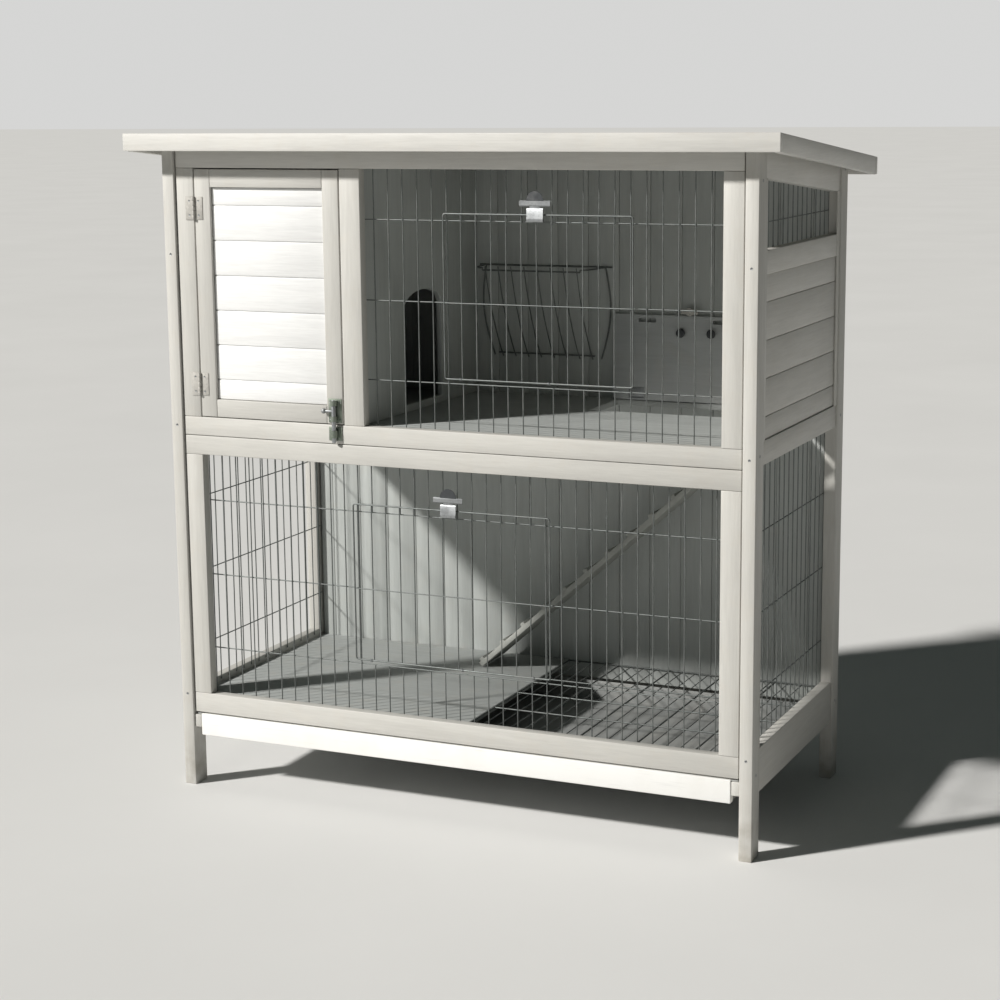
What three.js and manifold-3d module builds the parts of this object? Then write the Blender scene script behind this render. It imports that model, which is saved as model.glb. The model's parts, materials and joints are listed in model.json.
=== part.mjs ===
// Two-storey wooden rabbit hutch with a lean-to roof, a nest box, wire fronts and a pull-out tray.
// Millimetres, +Z up, front towards -Y, +X to the right, origin on the ground under the roof's centre.

import * as THREE from 'three';
import { mergeVertices } from 'three/addons/utils/BufferGeometryUtils.js';
import Module from 'manifold-3d';

const wasm = await Module();
wasm.setup();

// ---------------------------------------------------------------- driving dimensions

const ROOF_WIDTH = 1100;
const ROOF_DEPTH = 540;
const ROOF_FRONT_TOP = 1100;
const ROOF_REAR_TOP = 1049;
const ROOF_BOARD_THICKNESS = 12;
const ROOF_COVER_THICKNESS = 1.5;
const ROOF_EDGE_HEIGHT = 28;
const ROOF_EDGE_THICKNESS = 12;

const BODY_HALF_WIDTH = 506;
const BODY_FRONT_Y = -226;
const BODY_REAR_Y = 252;
const POST_WIDTH = 21;
const POST_DEPTH = 36;

const FIT_GAP = 0.3;
const FRAME_RECESS = 4;
const FRAME_THICKNESS = 18;
const FRAME_SIDE_GAP = 2.5;
const STILE_WIDTH = 32;
const FRAME_BOTTOM = 129;
const LOWER_OPENING_BOTTOM = 163;
const LOWER_OPENING_TOP = 574;
const FRAME_SEAM = 606.5;
const UPPER_OPENING_BOTTOM = 637;
const UPPER_OPENING_TOP = 1044;
const MID_STILE_X = [-182.5, -146.5];

const SIDE_RECESS = 3;
const SIDE_BOTTOM_RAIL_Z = [99.5, 170];
const SIDE_MID_RAIL_Z = [608, 645];
const WINDOW_RAIL_Z = [891.5, 927];
const SIDE_TOP_RAIL_HEIGHT = 46;
const LEFT_TOP_RAIL_BOTTOM = 985;
const BOARD_PITCH = 57;
const GROOVE_DEPTH = 2;
const GROOVE_HALF_WIDTH = 1.6;

const UPPER_FLOOR_Z = [626, 636];
const LOWER_FLOOR_Z = [150, 158.4];
const FLOOR_SPLIT_X = 17.5;
const FLOOR_HALF_WIDTH = 482;
const BACK_BOARD_Y = [229.5, 239.5];
const DIVIDER_X = [-164.6, -154.6];

const WIRE_WIDTH = 2;
const MESH_THICKNESS = 2.2;
const MESH_PITCH_ACROSS = 25.4;
const MESH_PITCH_UP = 127;
const MODELLED_PITCH_ACROSS = 3 * MESH_PITCH_ACROSS; // every third upright wire is modelled

const HATCH_X = [107, 428];
const HATCH_HEIGHT = 147;
const HATCH_THICKNESS = 9;
const HATCH_HINGE_Y = 213.5;
const HATCH_HINGE_Z = 637;
const HATCH_LEAN = THREE.MathUtils.degToRad(2.2);
const RAMP_HOLE_X = [117, 418];
const RAMP_HOLE_Y = [80, 213];
const RAMP_HINGE_X = 408;
const RAMP_HINGE_Z = 620;
const RAMP_LENGTH = 689;
const RAMP_SLOPE = THREE.MathUtils.degToRad(41.6);
const RAMP_Y = [122, 212];

// ---------------------------------------------------------------- finishes

const FRAME_PAINT = { color: 0xcfcbc2, roughness: 0.6, metalness: 0 };
const WHITE_PAINT = { color: 0xf2f2ef, roughness: 0.55, metalness: 0 };
const INNER_PAINT = { color: 0xb9bcb8, roughness: 0.7, metalness: 0 };
const ROOF_FELT = { color: 0x6d706b, roughness: 0.95, metalness: 0 };
const GALVANISED = { color: 0xa9adaf, roughness: 0.4, metalness: 0.9 };
const FITTING_STEEL = { color: 0x8f9292, roughness: 0.35, metalness: 0.9 };
const RAMP_WOOD = { color: 0xb4b3a8, roughness: 0.8, metalness: 0 };

const hutch = new THREE.Group();

// ---------------------------------------------------------------- building helpers

function addPart(name, geometry, finish, parent = hutch) {
  const mesh = new THREE.Mesh(geometry, new THREE.MeshStandardMaterial(finish));
  mesh.name = name;
  parent.add(mesh);
  return mesh;
}

// A straight-sided block; x, y and z are [low, high].
function blockGeometry(x, y, z) {
  const geometry = new THREE.BoxGeometry(x[1] - x[0], y[1] - y[0], z[1] - z[0]);
  geometry.translate((x[0] + x[1]) / 2, (y[0] + y[1]) / 2, (z[0] + z[1]) / 2);
  return geometry;
}

function addBlock(name, finish, x, y, z, parent = hutch) {
  addPart(name, blockGeometry(x, y, z), finish, parent);
}

function outline(points) {
  return new THREE.Shape(points.map(([u, v]) => new THREE.Vector2(u, v)));
}

function rectangleHole(u, v) {
  return new THREE.Path([
    new THREE.Vector2(u[0], v[0]),
    new THREE.Vector2(u[1], v[0]),
    new THREE.Vector2(u[1], v[1]),
    new THREE.Vector2(u[0], v[1]),
  ]);
}

function extruded(shape, depth, curveSegments = 8) {
  return new THREE.ExtrudeGeometry(shape, { depth, bevelEnabled: false, curveSegments });
}

const YZ_OUTLINE_ALONG_X = new THREE.Matrix4().makeBasis(
  new THREE.Vector3(0, 1, 0),
  new THREE.Vector3(0, 0, 1),
  new THREE.Vector3(1, 0, 0),
);

// Stands a flat geometry up so that its outline lies in Y and Z and starts at the given x.
function standFacingX(mesh, x) {
  mesh.quaternion.setFromRotationMatrix(YZ_OUTLINE_ALONG_X);
  mesh.position.x = x;
}

// Stands a flat geometry up so that its outline lies in X and Z and ends at the given y.
function standFacingY(mesh, y) {
  mesh.rotation.x = Math.PI / 2;
  mesh.position.y = y;
}

// An outline in Y and Z, extruded from x[0] to x[1].
function addAlongX(name, finish, shape, x, parent = hutch) {
  standFacingX(addPart(name, extruded(shape, x[1] - x[0]), finish, parent), x[0]);
}

// An outline in X and Z, extruded from y[0] to y[1].
function addAlongY(name, finish, shape, y, parent = hutch) {
  standFacingY(addPart(name, extruded(shape, y[1] - y[0]), finish, parent), y[1]);
}

// An outline in X and Y, extruded from z[0] to z[1].
function addAlongZ(name, finish, shape, z, parent = hutch) {
  addPart(name, extruded(shape, z[1] - z[0]), finish, parent).position.z = z[0];
}

function toSolid(geometry) {
  const bare = geometry.clone();
  bare.deleteAttribute('normal');
  bare.deleteAttribute('uv');
  const merged = mergeVertices(bare);
  return new wasm.Manifold(new wasm.Mesh({
    numProp: 3,
    vertProperties: merged.attributes.position.array,
    triVerts: new Uint32Array(merged.index.array),
  }));
}

function toGeometry(solid) {
  const { vertProperties, triVerts } = solid.getMesh();
  const geometry = new THREE.BufferGeometry();
  geometry.setAttribute('position', new THREE.BufferAttribute(vertProperties, 3));
  geometry.setIndex(new THREE.BufferAttribute(triVerts, 1));
  geometry.computeVertexNormals();
  return geometry;
}

function joined(geometries) {
  const solids = geometries.map(toSolid);
  return solids.reduce((whole, solid) => whole.add(solid));
}

// A round bar of the given radius between two points.
function rodGeometry(start, end, radius, sides = 12) {
  const from = new THREE.Vector3(...start);
  const along = new THREE.Vector3(...end).sub(from);
  const geometry = new THREE.CylinderGeometry(radius, radius, along.length(), sides);
  const turn = new THREE.Quaternion().setFromUnitVectors(
    new THREE.Vector3(0, 1, 0),
    along.clone().normalize(),
  );
  geometry.applyQuaternion(turn);
  geometry.translate(...from.addScaledVector(along, 0.5));
  return geometry;
}

// ---------------------------------------------------------------- roof

const ROOF_SLOPE = (ROOF_FRONT_TOP - ROOF_REAR_TOP) / ROOF_DEPTH;

function roofTopAt(y) {
  return ROOF_FRONT_TOP - ROOF_SLOPE * (y + ROOF_DEPTH / 2);
}

function roofUndersideAt(y) {
  return roofTopAt(y) - ROOF_COVER_THICKNESS - ROOF_BOARD_THICKNESS;
}

// A four-cornered outline in Y and Z whose top edge follows the roof's slope.
function underRoofOutline(y, bottomAt, topAt = (at) => roofUndersideAt(at) - FIT_GAP) {
  return outline([
    [y[0], bottomAt(y[0])],
    [y[1], bottomAt(y[1])],
    [y[1], topAt(y[1])],
    [y[0], topAt(y[0])],
  ]);
}

function buildRoof() {
  const halfDepth = ROOF_DEPTH / 2;
  const halfWidth = ROOF_WIDTH / 2;
  const innerHalfDepth = halfDepth - ROOF_EDGE_THICKNESS - FIT_GAP;
  const innerHalfWidth = halfWidth - ROOF_EDGE_THICKNESS - FIT_GAP;
  const boardTop = (y) => roofTopAt(y) - ROOF_COVER_THICKNESS;
  const edgeBottom = (y) => roofTopAt(y) - ROOF_EDGE_HEIGHT;

  addAlongX(
    'roof_board', ROOF_FELT,
    underRoofOutline([-innerHalfDepth, innerHalfDepth], roofUndersideAt, boardTop),
    [-innerHalfWidth, innerHalfWidth],
  );

  const frontY = [-halfDepth, -halfDepth + ROOF_EDGE_THICKNESS];
  const frontBottom = () => edgeBottom(-halfDepth);
  const frontOutline = underRoofOutline(frontY, frontBottom, roofTopAt);
  addAlongX('roof_front_fascia', FRAME_PAINT, frontOutline, [-halfWidth, halfWidth]);

  const rearY = [halfDepth - ROOF_EDGE_THICKNESS, halfDepth];
  const rearBottom = () => edgeBottom(halfDepth);
  const rearOutline = underRoofOutline(rearY, rearBottom, roofTopAt);
  addAlongX('roof_rear_fascia', FRAME_PAINT, rearOutline, [-halfWidth, halfWidth]);

  const bargeOutline = underRoofOutline([-innerHalfDepth, innerHalfDepth], edgeBottom, roofTopAt);
  const bargeX = [halfWidth - ROOF_EDGE_THICKNESS, halfWidth];
  addAlongX('roof_right_bargeboard', FRAME_PAINT, bargeOutline, bargeX);
  addAlongX('roof_left_bargeboard', FRAME_PAINT, bargeOutline, [-bargeX[1], -bargeX[0]]);
}

// ---------------------------------------------------------------- posts and front frames

const POST_X = [BODY_HALF_WIDTH - POST_WIDTH, BODY_HALF_WIDTH];
const FRONT_POST_Y = [BODY_FRONT_Y, BODY_FRONT_Y + POST_DEPTH];
const REAR_POST_Y = [BODY_REAR_Y - POST_DEPTH, BODY_REAR_Y];
const FRAME_Y = [BODY_FRONT_Y + FRAME_RECESS, BODY_FRONT_Y + FRAME_RECESS + FRAME_THICKNESS];
const FRAME_HALF_WIDTH = POST_X[0] - FRAME_SIDE_GAP;
const OPENING_HALF_WIDTH = FRAME_HALF_WIDTH - STILE_WIDTH;

function mirrored(range) {
  return [-range[1], -range[0]];
}

function buildPosts() {
  const ground = () => 0;
  for (const [place, y] of [['front', FRONT_POST_Y], ['rear', REAR_POST_Y]]) {
    const postOutline = underRoofOutline(y, ground);
    addAlongX(`post_${place}_left`, FRAME_PAINT, postOutline, mirrored(POST_X));
    addAlongX(`post_${place}_right`, FRAME_PAINT, postOutline, POST_X);
  }
}

function buildFrontFrames() {
  const railX = [-FRAME_HALF_WIDTH, FRAME_HALF_WIDTH];
  const rightStileX = [OPENING_HALF_WIDTH, FRAME_HALF_WIDTH];

  const lowerStileZ = [LOWER_OPENING_BOTTOM + FIT_GAP, LOWER_OPENING_TOP - FIT_GAP];
  addBlock('lower_frame_bottom_rail', FRAME_PAINT, railX, FRAME_Y, [FRAME_BOTTOM, LOWER_OPENING_BOTTOM]);
  addBlock('lower_frame_top_rail', FRAME_PAINT, railX, FRAME_Y, [LOWER_OPENING_TOP, FRAME_SEAM - 1]);
  addBlock('lower_frame_left_stile', FRAME_PAINT, mirrored(rightStileX), FRAME_Y, lowerStileZ);
  addBlock('lower_frame_right_stile', FRAME_PAINT, rightStileX, FRAME_Y, lowerStileZ);

  const upperStileZ = [UPPER_OPENING_BOTTOM + FIT_GAP, UPPER_OPENING_TOP - FIT_GAP];
  addBlock('upper_frame_bottom_rail', FRAME_PAINT, railX, FRAME_Y, [FRAME_SEAM, UPPER_OPENING_BOTTOM]);
  addAlongX(
    'upper_frame_top_rail', FRAME_PAINT,
    underRoofOutline(FRAME_Y, () => UPPER_OPENING_TOP), railX,
  );
  addBlock('upper_frame_left_stile', FRAME_PAINT, mirrored(rightStileX), FRAME_Y, upperStileZ);
  addBlock('upper_frame_mid_stile', FRAME_PAINT, MID_STILE_X, FRAME_Y, upperStileZ);
  addBlock('upper_frame_right_stile', FRAME_PAINT, rightStileX, FRAME_Y, upperStileZ);
}

// ---------------------------------------------------------------- side and back walls

const SIDE_X = [POST_X[0] + FIT_GAP, BODY_HALF_WIDTH - SIDE_RECESS];
const SIDE_Y = [FRONT_POST_Y[1] + FIT_GAP, REAR_POST_Y[0] - FIT_GAP];
const SIDING_X = [SIDE_X[0] + 4, SIDE_X[1] - 2];

// Board joints between low and high, counted from the anchor joint.
function jointsBetween(low, high, anchor, pitch = BOARD_PITCH) {
  const first = Math.ceil((low + GROOVE_HALF_WIDTH * 2 - anchor) / pitch);
  const last = Math.floor((high - GROOVE_HALF_WIDTH * 2 - anchor) / pitch);
  const joints = [];
  for (let index = first; index <= last; index += 1) {
    joints.push(anchor + index * pitch);
  }
  return joints;
}

// The edge points of a boarded face: a V-groove at each joint, depth towards inward.
function groovedFace(low, high, joints, face, inward) {
  const points = [[low, face]];
  for (const joint of joints) {
    points.push([joint - GROOVE_HALF_WIDTH, face]);
    points.push([joint, face + inward * GROOVE_DEPTH]);
    points.push([joint + GROOVE_HALF_WIDTH, face]);
  }
  points.push([high, face]);
  return points;
}

// Horizontal boards, grooved on the outer face only; side is +1 on the right and -1 on the left.
function sidingOutline(side, z, anchor) {
  const outer = groovedFace(z[0], z[1], jointsBetween(z[0], z[1], anchor), side * SIDING_X[1], -side);
  const outerPoints = outer.map(([height, across]) => [across, height]);
  const inner = side * SIDING_X[0];
  return outline([...outerPoints, [inner, z[1]], [inner, z[0]]]);
}

function buildSides() {
  const rightBoardsZ = [SIDE_MID_RAIL_Z[1] + FIT_GAP, WINDOW_RAIL_Z[0] - FIT_GAP];
  const leftBoardsZ = [SIDE_MID_RAIL_Z[1] + FIT_GAP, LEFT_TOP_RAIL_BOTTOM - FIT_GAP];
  const jointAnchor = 850.6;
  const windowTop = (y) => roofUndersideAt(y) - SIDE_TOP_RAIL_HEIGHT;

  addBlock('right_bottom_rail', FRAME_PAINT, SIDE_X, SIDE_Y, SIDE_BOTTOM_RAIL_Z);
  addBlock('right_mid_rail', FRAME_PAINT, SIDE_X, SIDE_Y, SIDE_MID_RAIL_Z);
  addAlongY('right_siding', FRAME_PAINT, sidingOutline(1, rightBoardsZ, jointAnchor), SIDE_Y);
  addBlock('right_window_rail', FRAME_PAINT, SIDE_X, SIDE_Y, WINDOW_RAIL_Z);
  addAlongX('right_top_rail', FRAME_PAINT, underRoofOutline(SIDE_Y, windowTop), SIDE_X);

  const leftX = mirrored(SIDE_X);
  const leftTopBottom = () => LEFT_TOP_RAIL_BOTTOM;
  addBlock('left_bottom_rail', FRAME_PAINT, leftX, SIDE_Y, SIDE_BOTTOM_RAIL_Z);
  addBlock('left_mid_rail', FRAME_PAINT, leftX, SIDE_Y, SIDE_MID_RAIL_Z);
  addAlongY('left_siding', FRAME_PAINT, sidingOutline(-1, leftBoardsZ, jointAnchor), SIDE_Y);
  addAlongX('left_top_rail', FRAME_PAINT, underRoofOutline(SIDE_Y, leftTopBottom), leftX);
}

function buildBack() {
  const joints = jointsBetween(-FLOOR_HALF_WIDTH, FLOOR_HALF_WIDTH, 0);
  const front = groovedFace(-FLOOR_HALF_WIDTH, FLOOR_HALF_WIDTH, joints, BACK_BOARD_Y[0], 1);
  const rear = groovedFace(-FLOOR_HALF_WIDTH, FLOOR_HALF_WIDTH, joints, BACK_BOARD_Y[1], -1);
  const boardsTop = roofUndersideAt(BACK_BOARD_Y[1]) - FIT_GAP;
  addAlongZ('back_boards', INNER_PAINT, outline([...front, ...rear.reverse()]), [FRAME_BOTTOM, boardsTop]);

  const frameX = POST_X[0] - FIT_GAP;
  const frameY = [BACK_BOARD_Y[1] + FIT_GAP, BODY_REAR_Y - FIT_GAP];
  const frameTop = roofUndersideAt(frameY[1]) - FIT_GAP;
  const topRailBottom = 1000;
  const backFrame = outline([
    [-frameX, SIDE_BOTTOM_RAIL_Z[0]],
    [frameX, SIDE_BOTTOM_RAIL_Z[0]],
    [frameX, frameTop],
    [-frameX, frameTop],
  ]);
  backFrame.holes.push(rectangleHole(
    [-frameX + STILE_WIDTH, frameX - STILE_WIDTH],
    [SIDE_BOTTOM_RAIL_Z[1], topRailBottom],
  ));
  addAlongY('back_frame', FRAME_PAINT, backFrame, frameY);
}

// ---------------------------------------------------------------- floors and divider

const FLOOR_Y = [-201, BACK_BOARD_Y[0] - FIT_GAP];

// Equal steps from low to high, each as near to the pitch as they divide.
function spaced(low, high, pitch) {
  const steps = Math.max(1, Math.round((high - low) / pitch));
  return Array.from({ length: steps + 1 }, (_, index) => low + ((high - low) * index) / steps);
}

// As spaced, with a wire kept at each edge of an opening on the way.
function spacedAround(low, high, opening, pitch) {
  return [
    ...spaced(low, opening[0], pitch),
    ...spaced(opening[0], opening[1], pitch).slice(1),
    ...spaced(opening[1], high, pitch).slice(1),
  ];
}

// A flat welded mesh lying in X and Y, from z = 0 up to its thickness, as one body of shared corners:
// solid along the wires and open between them. An access opening, given by its edge wires, is clear.
function meshGeometry(acrossWires, upWires, options = {}) {
  const { width = WIRE_WIDTH, thickness = MESH_THICKNESS, access = null } = options;
  const half = width / 2;
  const u = acrossWires.flatMap((at) => [at - half, at + half]);
  const v = upWires.flatMap((at) => [at - half, at + half]);
  const inside = (at, range) => at > range[0] + half && at < range[1] - half;

  const isSolid = (column, row) => {
    if (column < 0 || row < 0 || column > u.length - 2 || row > v.length - 2) {
      return false;
    }
    if (access) {
      const middleU = (u[column] + u[column + 1]) / 2;
      const middleV = (v[row] + v[row + 1]) / 2;
      if (inside(middleU, access.u) && inside(middleV, access.v)) {
        return false;
      }
    }
    return column % 2 === 0 || row % 2 === 0;
  };

  const positions = [];
  for (const across of u) {
    for (const up of v) {
      positions.push(across, up, 0, across, up, thickness);
    }
  }
  const corner = (column, row, layer) => (column * v.length + row) * 2 + layer;
  const triangles = [];
  const addQuad = (first, second, third, fourth) => {
    triangles.push(first, second, third, first, third, fourth);
  };
  const addWall = (start, end) => {
    addQuad(corner(...start, 0), corner(...end, 0), corner(...end, 1), corner(...start, 1));
  };
  for (let column = 0; column < u.length - 1; column += 1) {
    for (let row = 0; row < v.length - 1; row += 1) {
      if (!isSolid(column, row)) {
        continue;
      }
      const corners = [[column, row], [column + 1, row], [column + 1, row + 1], [column, row + 1]];
      const neighbours = [[column, row - 1], [column + 1, row], [column, row + 1], [column - 1, row]];
      addQuad(...corners.map((at) => corner(...at, 1)));
      addQuad(...corners.map((at) => corner(...at, 0)).reverse());
      neighbours.forEach((neighbour, side) => {
        if (!isSolid(...neighbour)) {
          addWall(corners[side], corners[(side + 1) % 4]);
        }
      });
    }
  }

  const geometry = new THREE.BufferGeometry();
  geometry.setAttribute('position', new THREE.Float32BufferAttribute(positions, 3));
  geometry.setIndex(triangles);
  const faceted = geometry.toNonIndexed();
  faceted.computeVertexNormals();
  return faceted;
}

function buildFloors() {
  const boardX = [-FLOOR_HALF_WIDTH, FLOOR_SPLIT_X - FIT_GAP];
  addBlock('lower_floor_board', INNER_PAINT, boardX, FLOOR_Y, LOWER_FLOOR_Z);

  const gridWire = 3;
  const gridPitch = 96;
  const grid = meshGeometry(
    spaced(FLOOR_SPLIT_X + gridWire / 2, FLOOR_HALF_WIDTH - gridWire / 2, gridPitch),
    spaced(FLOOR_Y[0] + gridWire / 2, FLOOR_Y[1] - gridWire / 2, gridPitch),
    { width: gridWire, thickness: gridWire },
  );
  addPart('lower_floor_grid', grid, GALVANISED).position.z = LOWER_FLOOR_Z[1] - gridWire;

  const upperSheet = outline([
    [-FLOOR_HALF_WIDTH, FLOOR_Y[0]],
    [FLOOR_HALF_WIDTH, FLOOR_Y[0]],
    [FLOOR_HALF_WIDTH, FLOOR_Y[1]],
    [-FLOOR_HALF_WIDTH, FLOOR_Y[1]],
  ]);
  upperSheet.holes.push(rectangleHole(RAMP_HOLE_X, RAMP_HOLE_Y));
  addAlongZ('upper_floor', INNER_PAINT, upperSheet, UPPER_FLOOR_Z);
}

// The wall between nest and run, with a doorway whose top is a flattened arch.
function buildDivider() {
  const archY = [-58, 83];
  const archCentre = (archY[0] + archY[1]) / 2;
  const archSill = 648;
  const archSpring = 806;
  const archRise = 30;
  const wall = underRoofOutline(FLOOR_Y, () => UPPER_FLOOR_Z[1] + FIT_GAP);
  const doorway = new THREE.Path();
  doorway.moveTo(archY[0], archSill);
  doorway.lineTo(archY[1], archSill);
  doorway.lineTo(archY[1], archSpring);
  doorway.absellipse(archCentre, archSpring, (archY[1] - archY[0]) / 2, archRise, 0, Math.PI, false, 0);
  wall.holes.push(doorway);
  addAlongX('divider_wall', INNER_PAINT, wall, DIVIDER_X);
}

// ---------------------------------------------------------------- fixed wire panels

const FRONT_MESH_Y = [FRAME_Y[1] + FIT_GAP, FRAME_Y[1] + FIT_GAP + MESH_THICKNESS];
const SIDE_MESH_X = [POST_X[0] - FIT_GAP - MESH_THICKNESS, POST_X[0] - FIT_GAP];
const UPPER_ACCESS = { u: [-4.9, -4.9 + 12 * MESH_PITCH_ACROSS], v: [710.5, 710.5 + 2 * MESH_PITCH_UP] };
const LOWER_ACCESS = { u: [-171, -171 + 13 * MESH_PITCH_ACROSS], v: [240, 240 + 2 * MESH_PITCH_UP] };

function addFrontMesh(name, x, z, access) {
  const geometry = meshGeometry(
    spacedAround(x[0], x[1], access.u, MODELLED_PITCH_ACROSS),
    spacedAround(z[0], z[1], access.v, MESH_PITCH_UP),
    { access },
  );
  standFacingY(addPart(name, geometry, GALVANISED), FRONT_MESH_Y[1]);
}

function addSideMesh(name, x, upWires) {
  const geometry = meshGeometry(spaced(-198, 224, MODELLED_PITCH_ACROSS), upWires);
  standFacingX(addPart(name, geometry, GALVANISED), x);
}

function buildFixedMesh() {
  const overlap = 5;
  const halfWidth = OPENING_HALF_WIDTH + overlap;
  const upperZ = [UPPER_OPENING_BOTTOM - overlap, UPPER_OPENING_TOP + overlap];
  const lowerZ = [LOWER_OPENING_BOTTOM - 2, LOWER_OPENING_TOP + overlap];
  addFrontMesh('upper_front_mesh', [MID_STILE_X[1] - overlap, halfWidth], upperZ, UPPER_ACCESS);
  addFrontMesh('lower_front_mesh', [-halfWidth, halfWidth], lowerZ, LOWER_ACCESS);

  const sideWires = spacedAround(164, 616, LOWER_ACCESS.v, MESH_PITCH_UP);
  addSideMesh('right_side_mesh', SIDE_MESH_X[0], sideWires);
  addSideMesh('left_side_mesh', -SIDE_MESH_X[1], sideWires);
  addSideMesh('right_window_mesh', SIDE_MESH_X[0], [920, 964.5, 1033]);
}

// ---------------------------------------------------------------- nest-box door, hinges and bolt

const DOOR_X = [-448.5, -184.5];
const DOOR_Z = [638.5, 1042];
const DOOR_Y = [FRAME_Y[0], FRAME_Y[0] + 16];
const DOOR_FRAME_WIDTH = 29;
const DOOR_AXIS = { x: -449.5, y: FRAME_Y[0] - 2.9 };
const BOLT_AXIS = { x: -198, y: FRAME_Y[0] - 6.5 };
const BOLT_RADIUS = 4;

function buildNestDoor() {
  const door = new THREE.Group();
  hutch.add(door);
  const innerX = [DOOR_X[0] + DOOR_FRAME_WIDTH, DOOR_X[1] - DOOR_FRAME_WIDTH];
  const innerZ = [DOOR_Z[0] + DOOR_FRAME_WIDTH, DOOR_Z[1] - DOOR_FRAME_WIDTH];
  const railX = [innerX[0] + FIT_GAP, innerX[1] - FIT_GAP];

  addBlock('nest_door_left_stile', FRAME_PAINT, [DOOR_X[0], innerX[0]], DOOR_Y, DOOR_Z, door);
  addBlock('nest_door_right_stile', FRAME_PAINT, [innerX[1], DOOR_X[1]], DOOR_Y, DOOR_Z, door);
  addBlock('nest_door_bottom_rail', FRAME_PAINT, railX, DOOR_Y, [DOOR_Z[0], innerZ[0]], door);
  addBlock('nest_door_top_rail', FRAME_PAINT, railX, DOOR_Y, [innerZ[1], DOOR_Z[1]], door);

  const boardY = [DOOR_Y[0] + 5, DOOR_Y[0] + 13];
  const boardZ = [innerZ[0] + FIT_GAP, innerZ[1] - FIT_GAP];
  const firstJoint = 700.7;
  const face = groovedFace(
    boardZ[0], boardZ[1], jointsBetween(boardZ[0], boardZ[1], firstJoint), boardY[0], 1,
  );
  const facePoints = face.map(([height, depth]) => [depth, height]);
  const boards = outline([...facePoints, [boardY[1], boardZ[1]], [boardY[1], boardZ[0]]]);
  addAlongX('nest_door_boards', WHITE_PAINT, boards, railX, door);
}

// A hinge fixed to the frame: one leaf on the stile and the barrel that the door turns about.
function addDoorHinge(name, z) {
  const leafY = [FRAME_Y[0] - 1.5, FRAME_Y[0] - FIT_GAP];
  const leafX = [DOOR_AXIS.x - 16, DOOR_AXIS.x];
  const barrelRadius = 2.5;
  const leaf = blockGeometry(leafX, leafY, z);
  const barrel = rodGeometry(
    [DOOR_AXIS.x, DOOR_AXIS.y, z[0]],
    [DOOR_AXIS.x, DOOR_AXIS.y, z[1]],
    barrelRadius,
  );
  addPart(name, toGeometry(joined([leaf, barrel])), FITTING_STEEL);
}

function buildNestHardware() {
  const hingeHeight = 38;
  for (const [name, middle] of [['nest_hinge_upper', 979.5], ['nest_hinge_lower', 692]]) {
    addDoorHinge(name, [middle - hingeHeight / 2, middle + hingeHeight / 2]);
  }

  const plateHalfWidth = 12;
  const plateY = [FRAME_Y[0] - 1.5, FRAME_Y[0] - FIT_GAP];
  const plateX = [BOLT_AXIS.x - plateHalfWidth, BOLT_AXIS.x + plateHalfWidth];
  const plateZ = [641, 680];
  const saddleX = [BOLT_AXIS.x - 7, BOLT_AXIS.x + 7];
  const saddleY = [BOLT_AXIS.y - 6, plateY[0] + 0.5];
  const plate = joined([
    blockGeometry(plateX, plateY, plateZ),
    blockGeometry(saddleX, saddleY, [plateZ[0] + 2, plateZ[0] + 11]),
    blockGeometry(saddleX, saddleY, [plateZ[1] - 11, plateZ[1] - 2]),
  ]);
  const channel = rodGeometry(
    [BOLT_AXIS.x, BOLT_AXIS.y, plateZ[0] - 1], [BOLT_AXIS.x, BOLT_AXIS.y, plateZ[1] + 1],
    BOLT_RADIUS + 0.4,
  );
  const stemSlot = blockGeometry(
    [saddleX[0] - 1, BOLT_AXIS.x], [BOLT_AXIS.y - 2.8, BOLT_AXIS.y + 2.8],
    [plateZ[0] - 1, plateZ[1] + 1],
  );
  const slotted = plate.subtract(toSolid(channel)).subtract(toSolid(stemSlot));
  addPart('nest_bolt_plate', toGeometry(slotted), FITTING_STEEL);

  const stemZ = 660;
  const knobX = BOLT_AXIS.x - 18;
  const knob = new THREE.SphereGeometry(4.5, 12, 8);
  knob.translate(knobX, BOLT_AXIS.y, stemZ);
  const bolt = joined([
    rodGeometry([BOLT_AXIS.x, BOLT_AXIS.y, 609], [BOLT_AXIS.x, BOLT_AXIS.y, 678], BOLT_RADIUS),
    rodGeometry([BOLT_AXIS.x, BOLT_AXIS.y, stemZ], [knobX, BOLT_AXIS.y, stemZ], 2.3, 10),
    knob,
  ]);
  addPart('nest_bolt', toGeometry(bolt), FITTING_STEEL);

  const cheekY = BOLT_AXIS.y - 4.5;
  const cheekX = BOLT_RADIUS + 0.6;
  const cheekThickness = 3.4;
  const keeper = outline([
    [plateX[0], plateY[1]],
    [plateX[1], plateY[1]],
    [plateX[1], plateY[0]],
    [BOLT_AXIS.x + cheekX + cheekThickness, plateY[0]],
    [BOLT_AXIS.x + cheekX + cheekThickness, cheekY],
    [BOLT_AXIS.x + cheekX, cheekY],
    [BOLT_AXIS.x + cheekX, plateY[0]],
    [BOLT_AXIS.x - cheekX, plateY[0]],
    [BOLT_AXIS.x - cheekX, cheekY],
    [BOLT_AXIS.x - cheekX - cheekThickness, cheekY],
    [BOLT_AXIS.x - cheekX - cheekThickness, plateY[0]],
    [plateX[0], plateY[0]],
  ]);
  addAlongZ('nest_bolt_keeper', FITTING_STEEL, keeper, [612, 634]);
}

// ---------------------------------------------------------------- wire doors and their latches

const WIRE_DOOR_Y = [FRONT_MESH_Y[0] - 3.7, FRONT_MESH_Y[0] - 1.3];
const DOOR_WIRE_WIDTH = 2.6;

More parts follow.
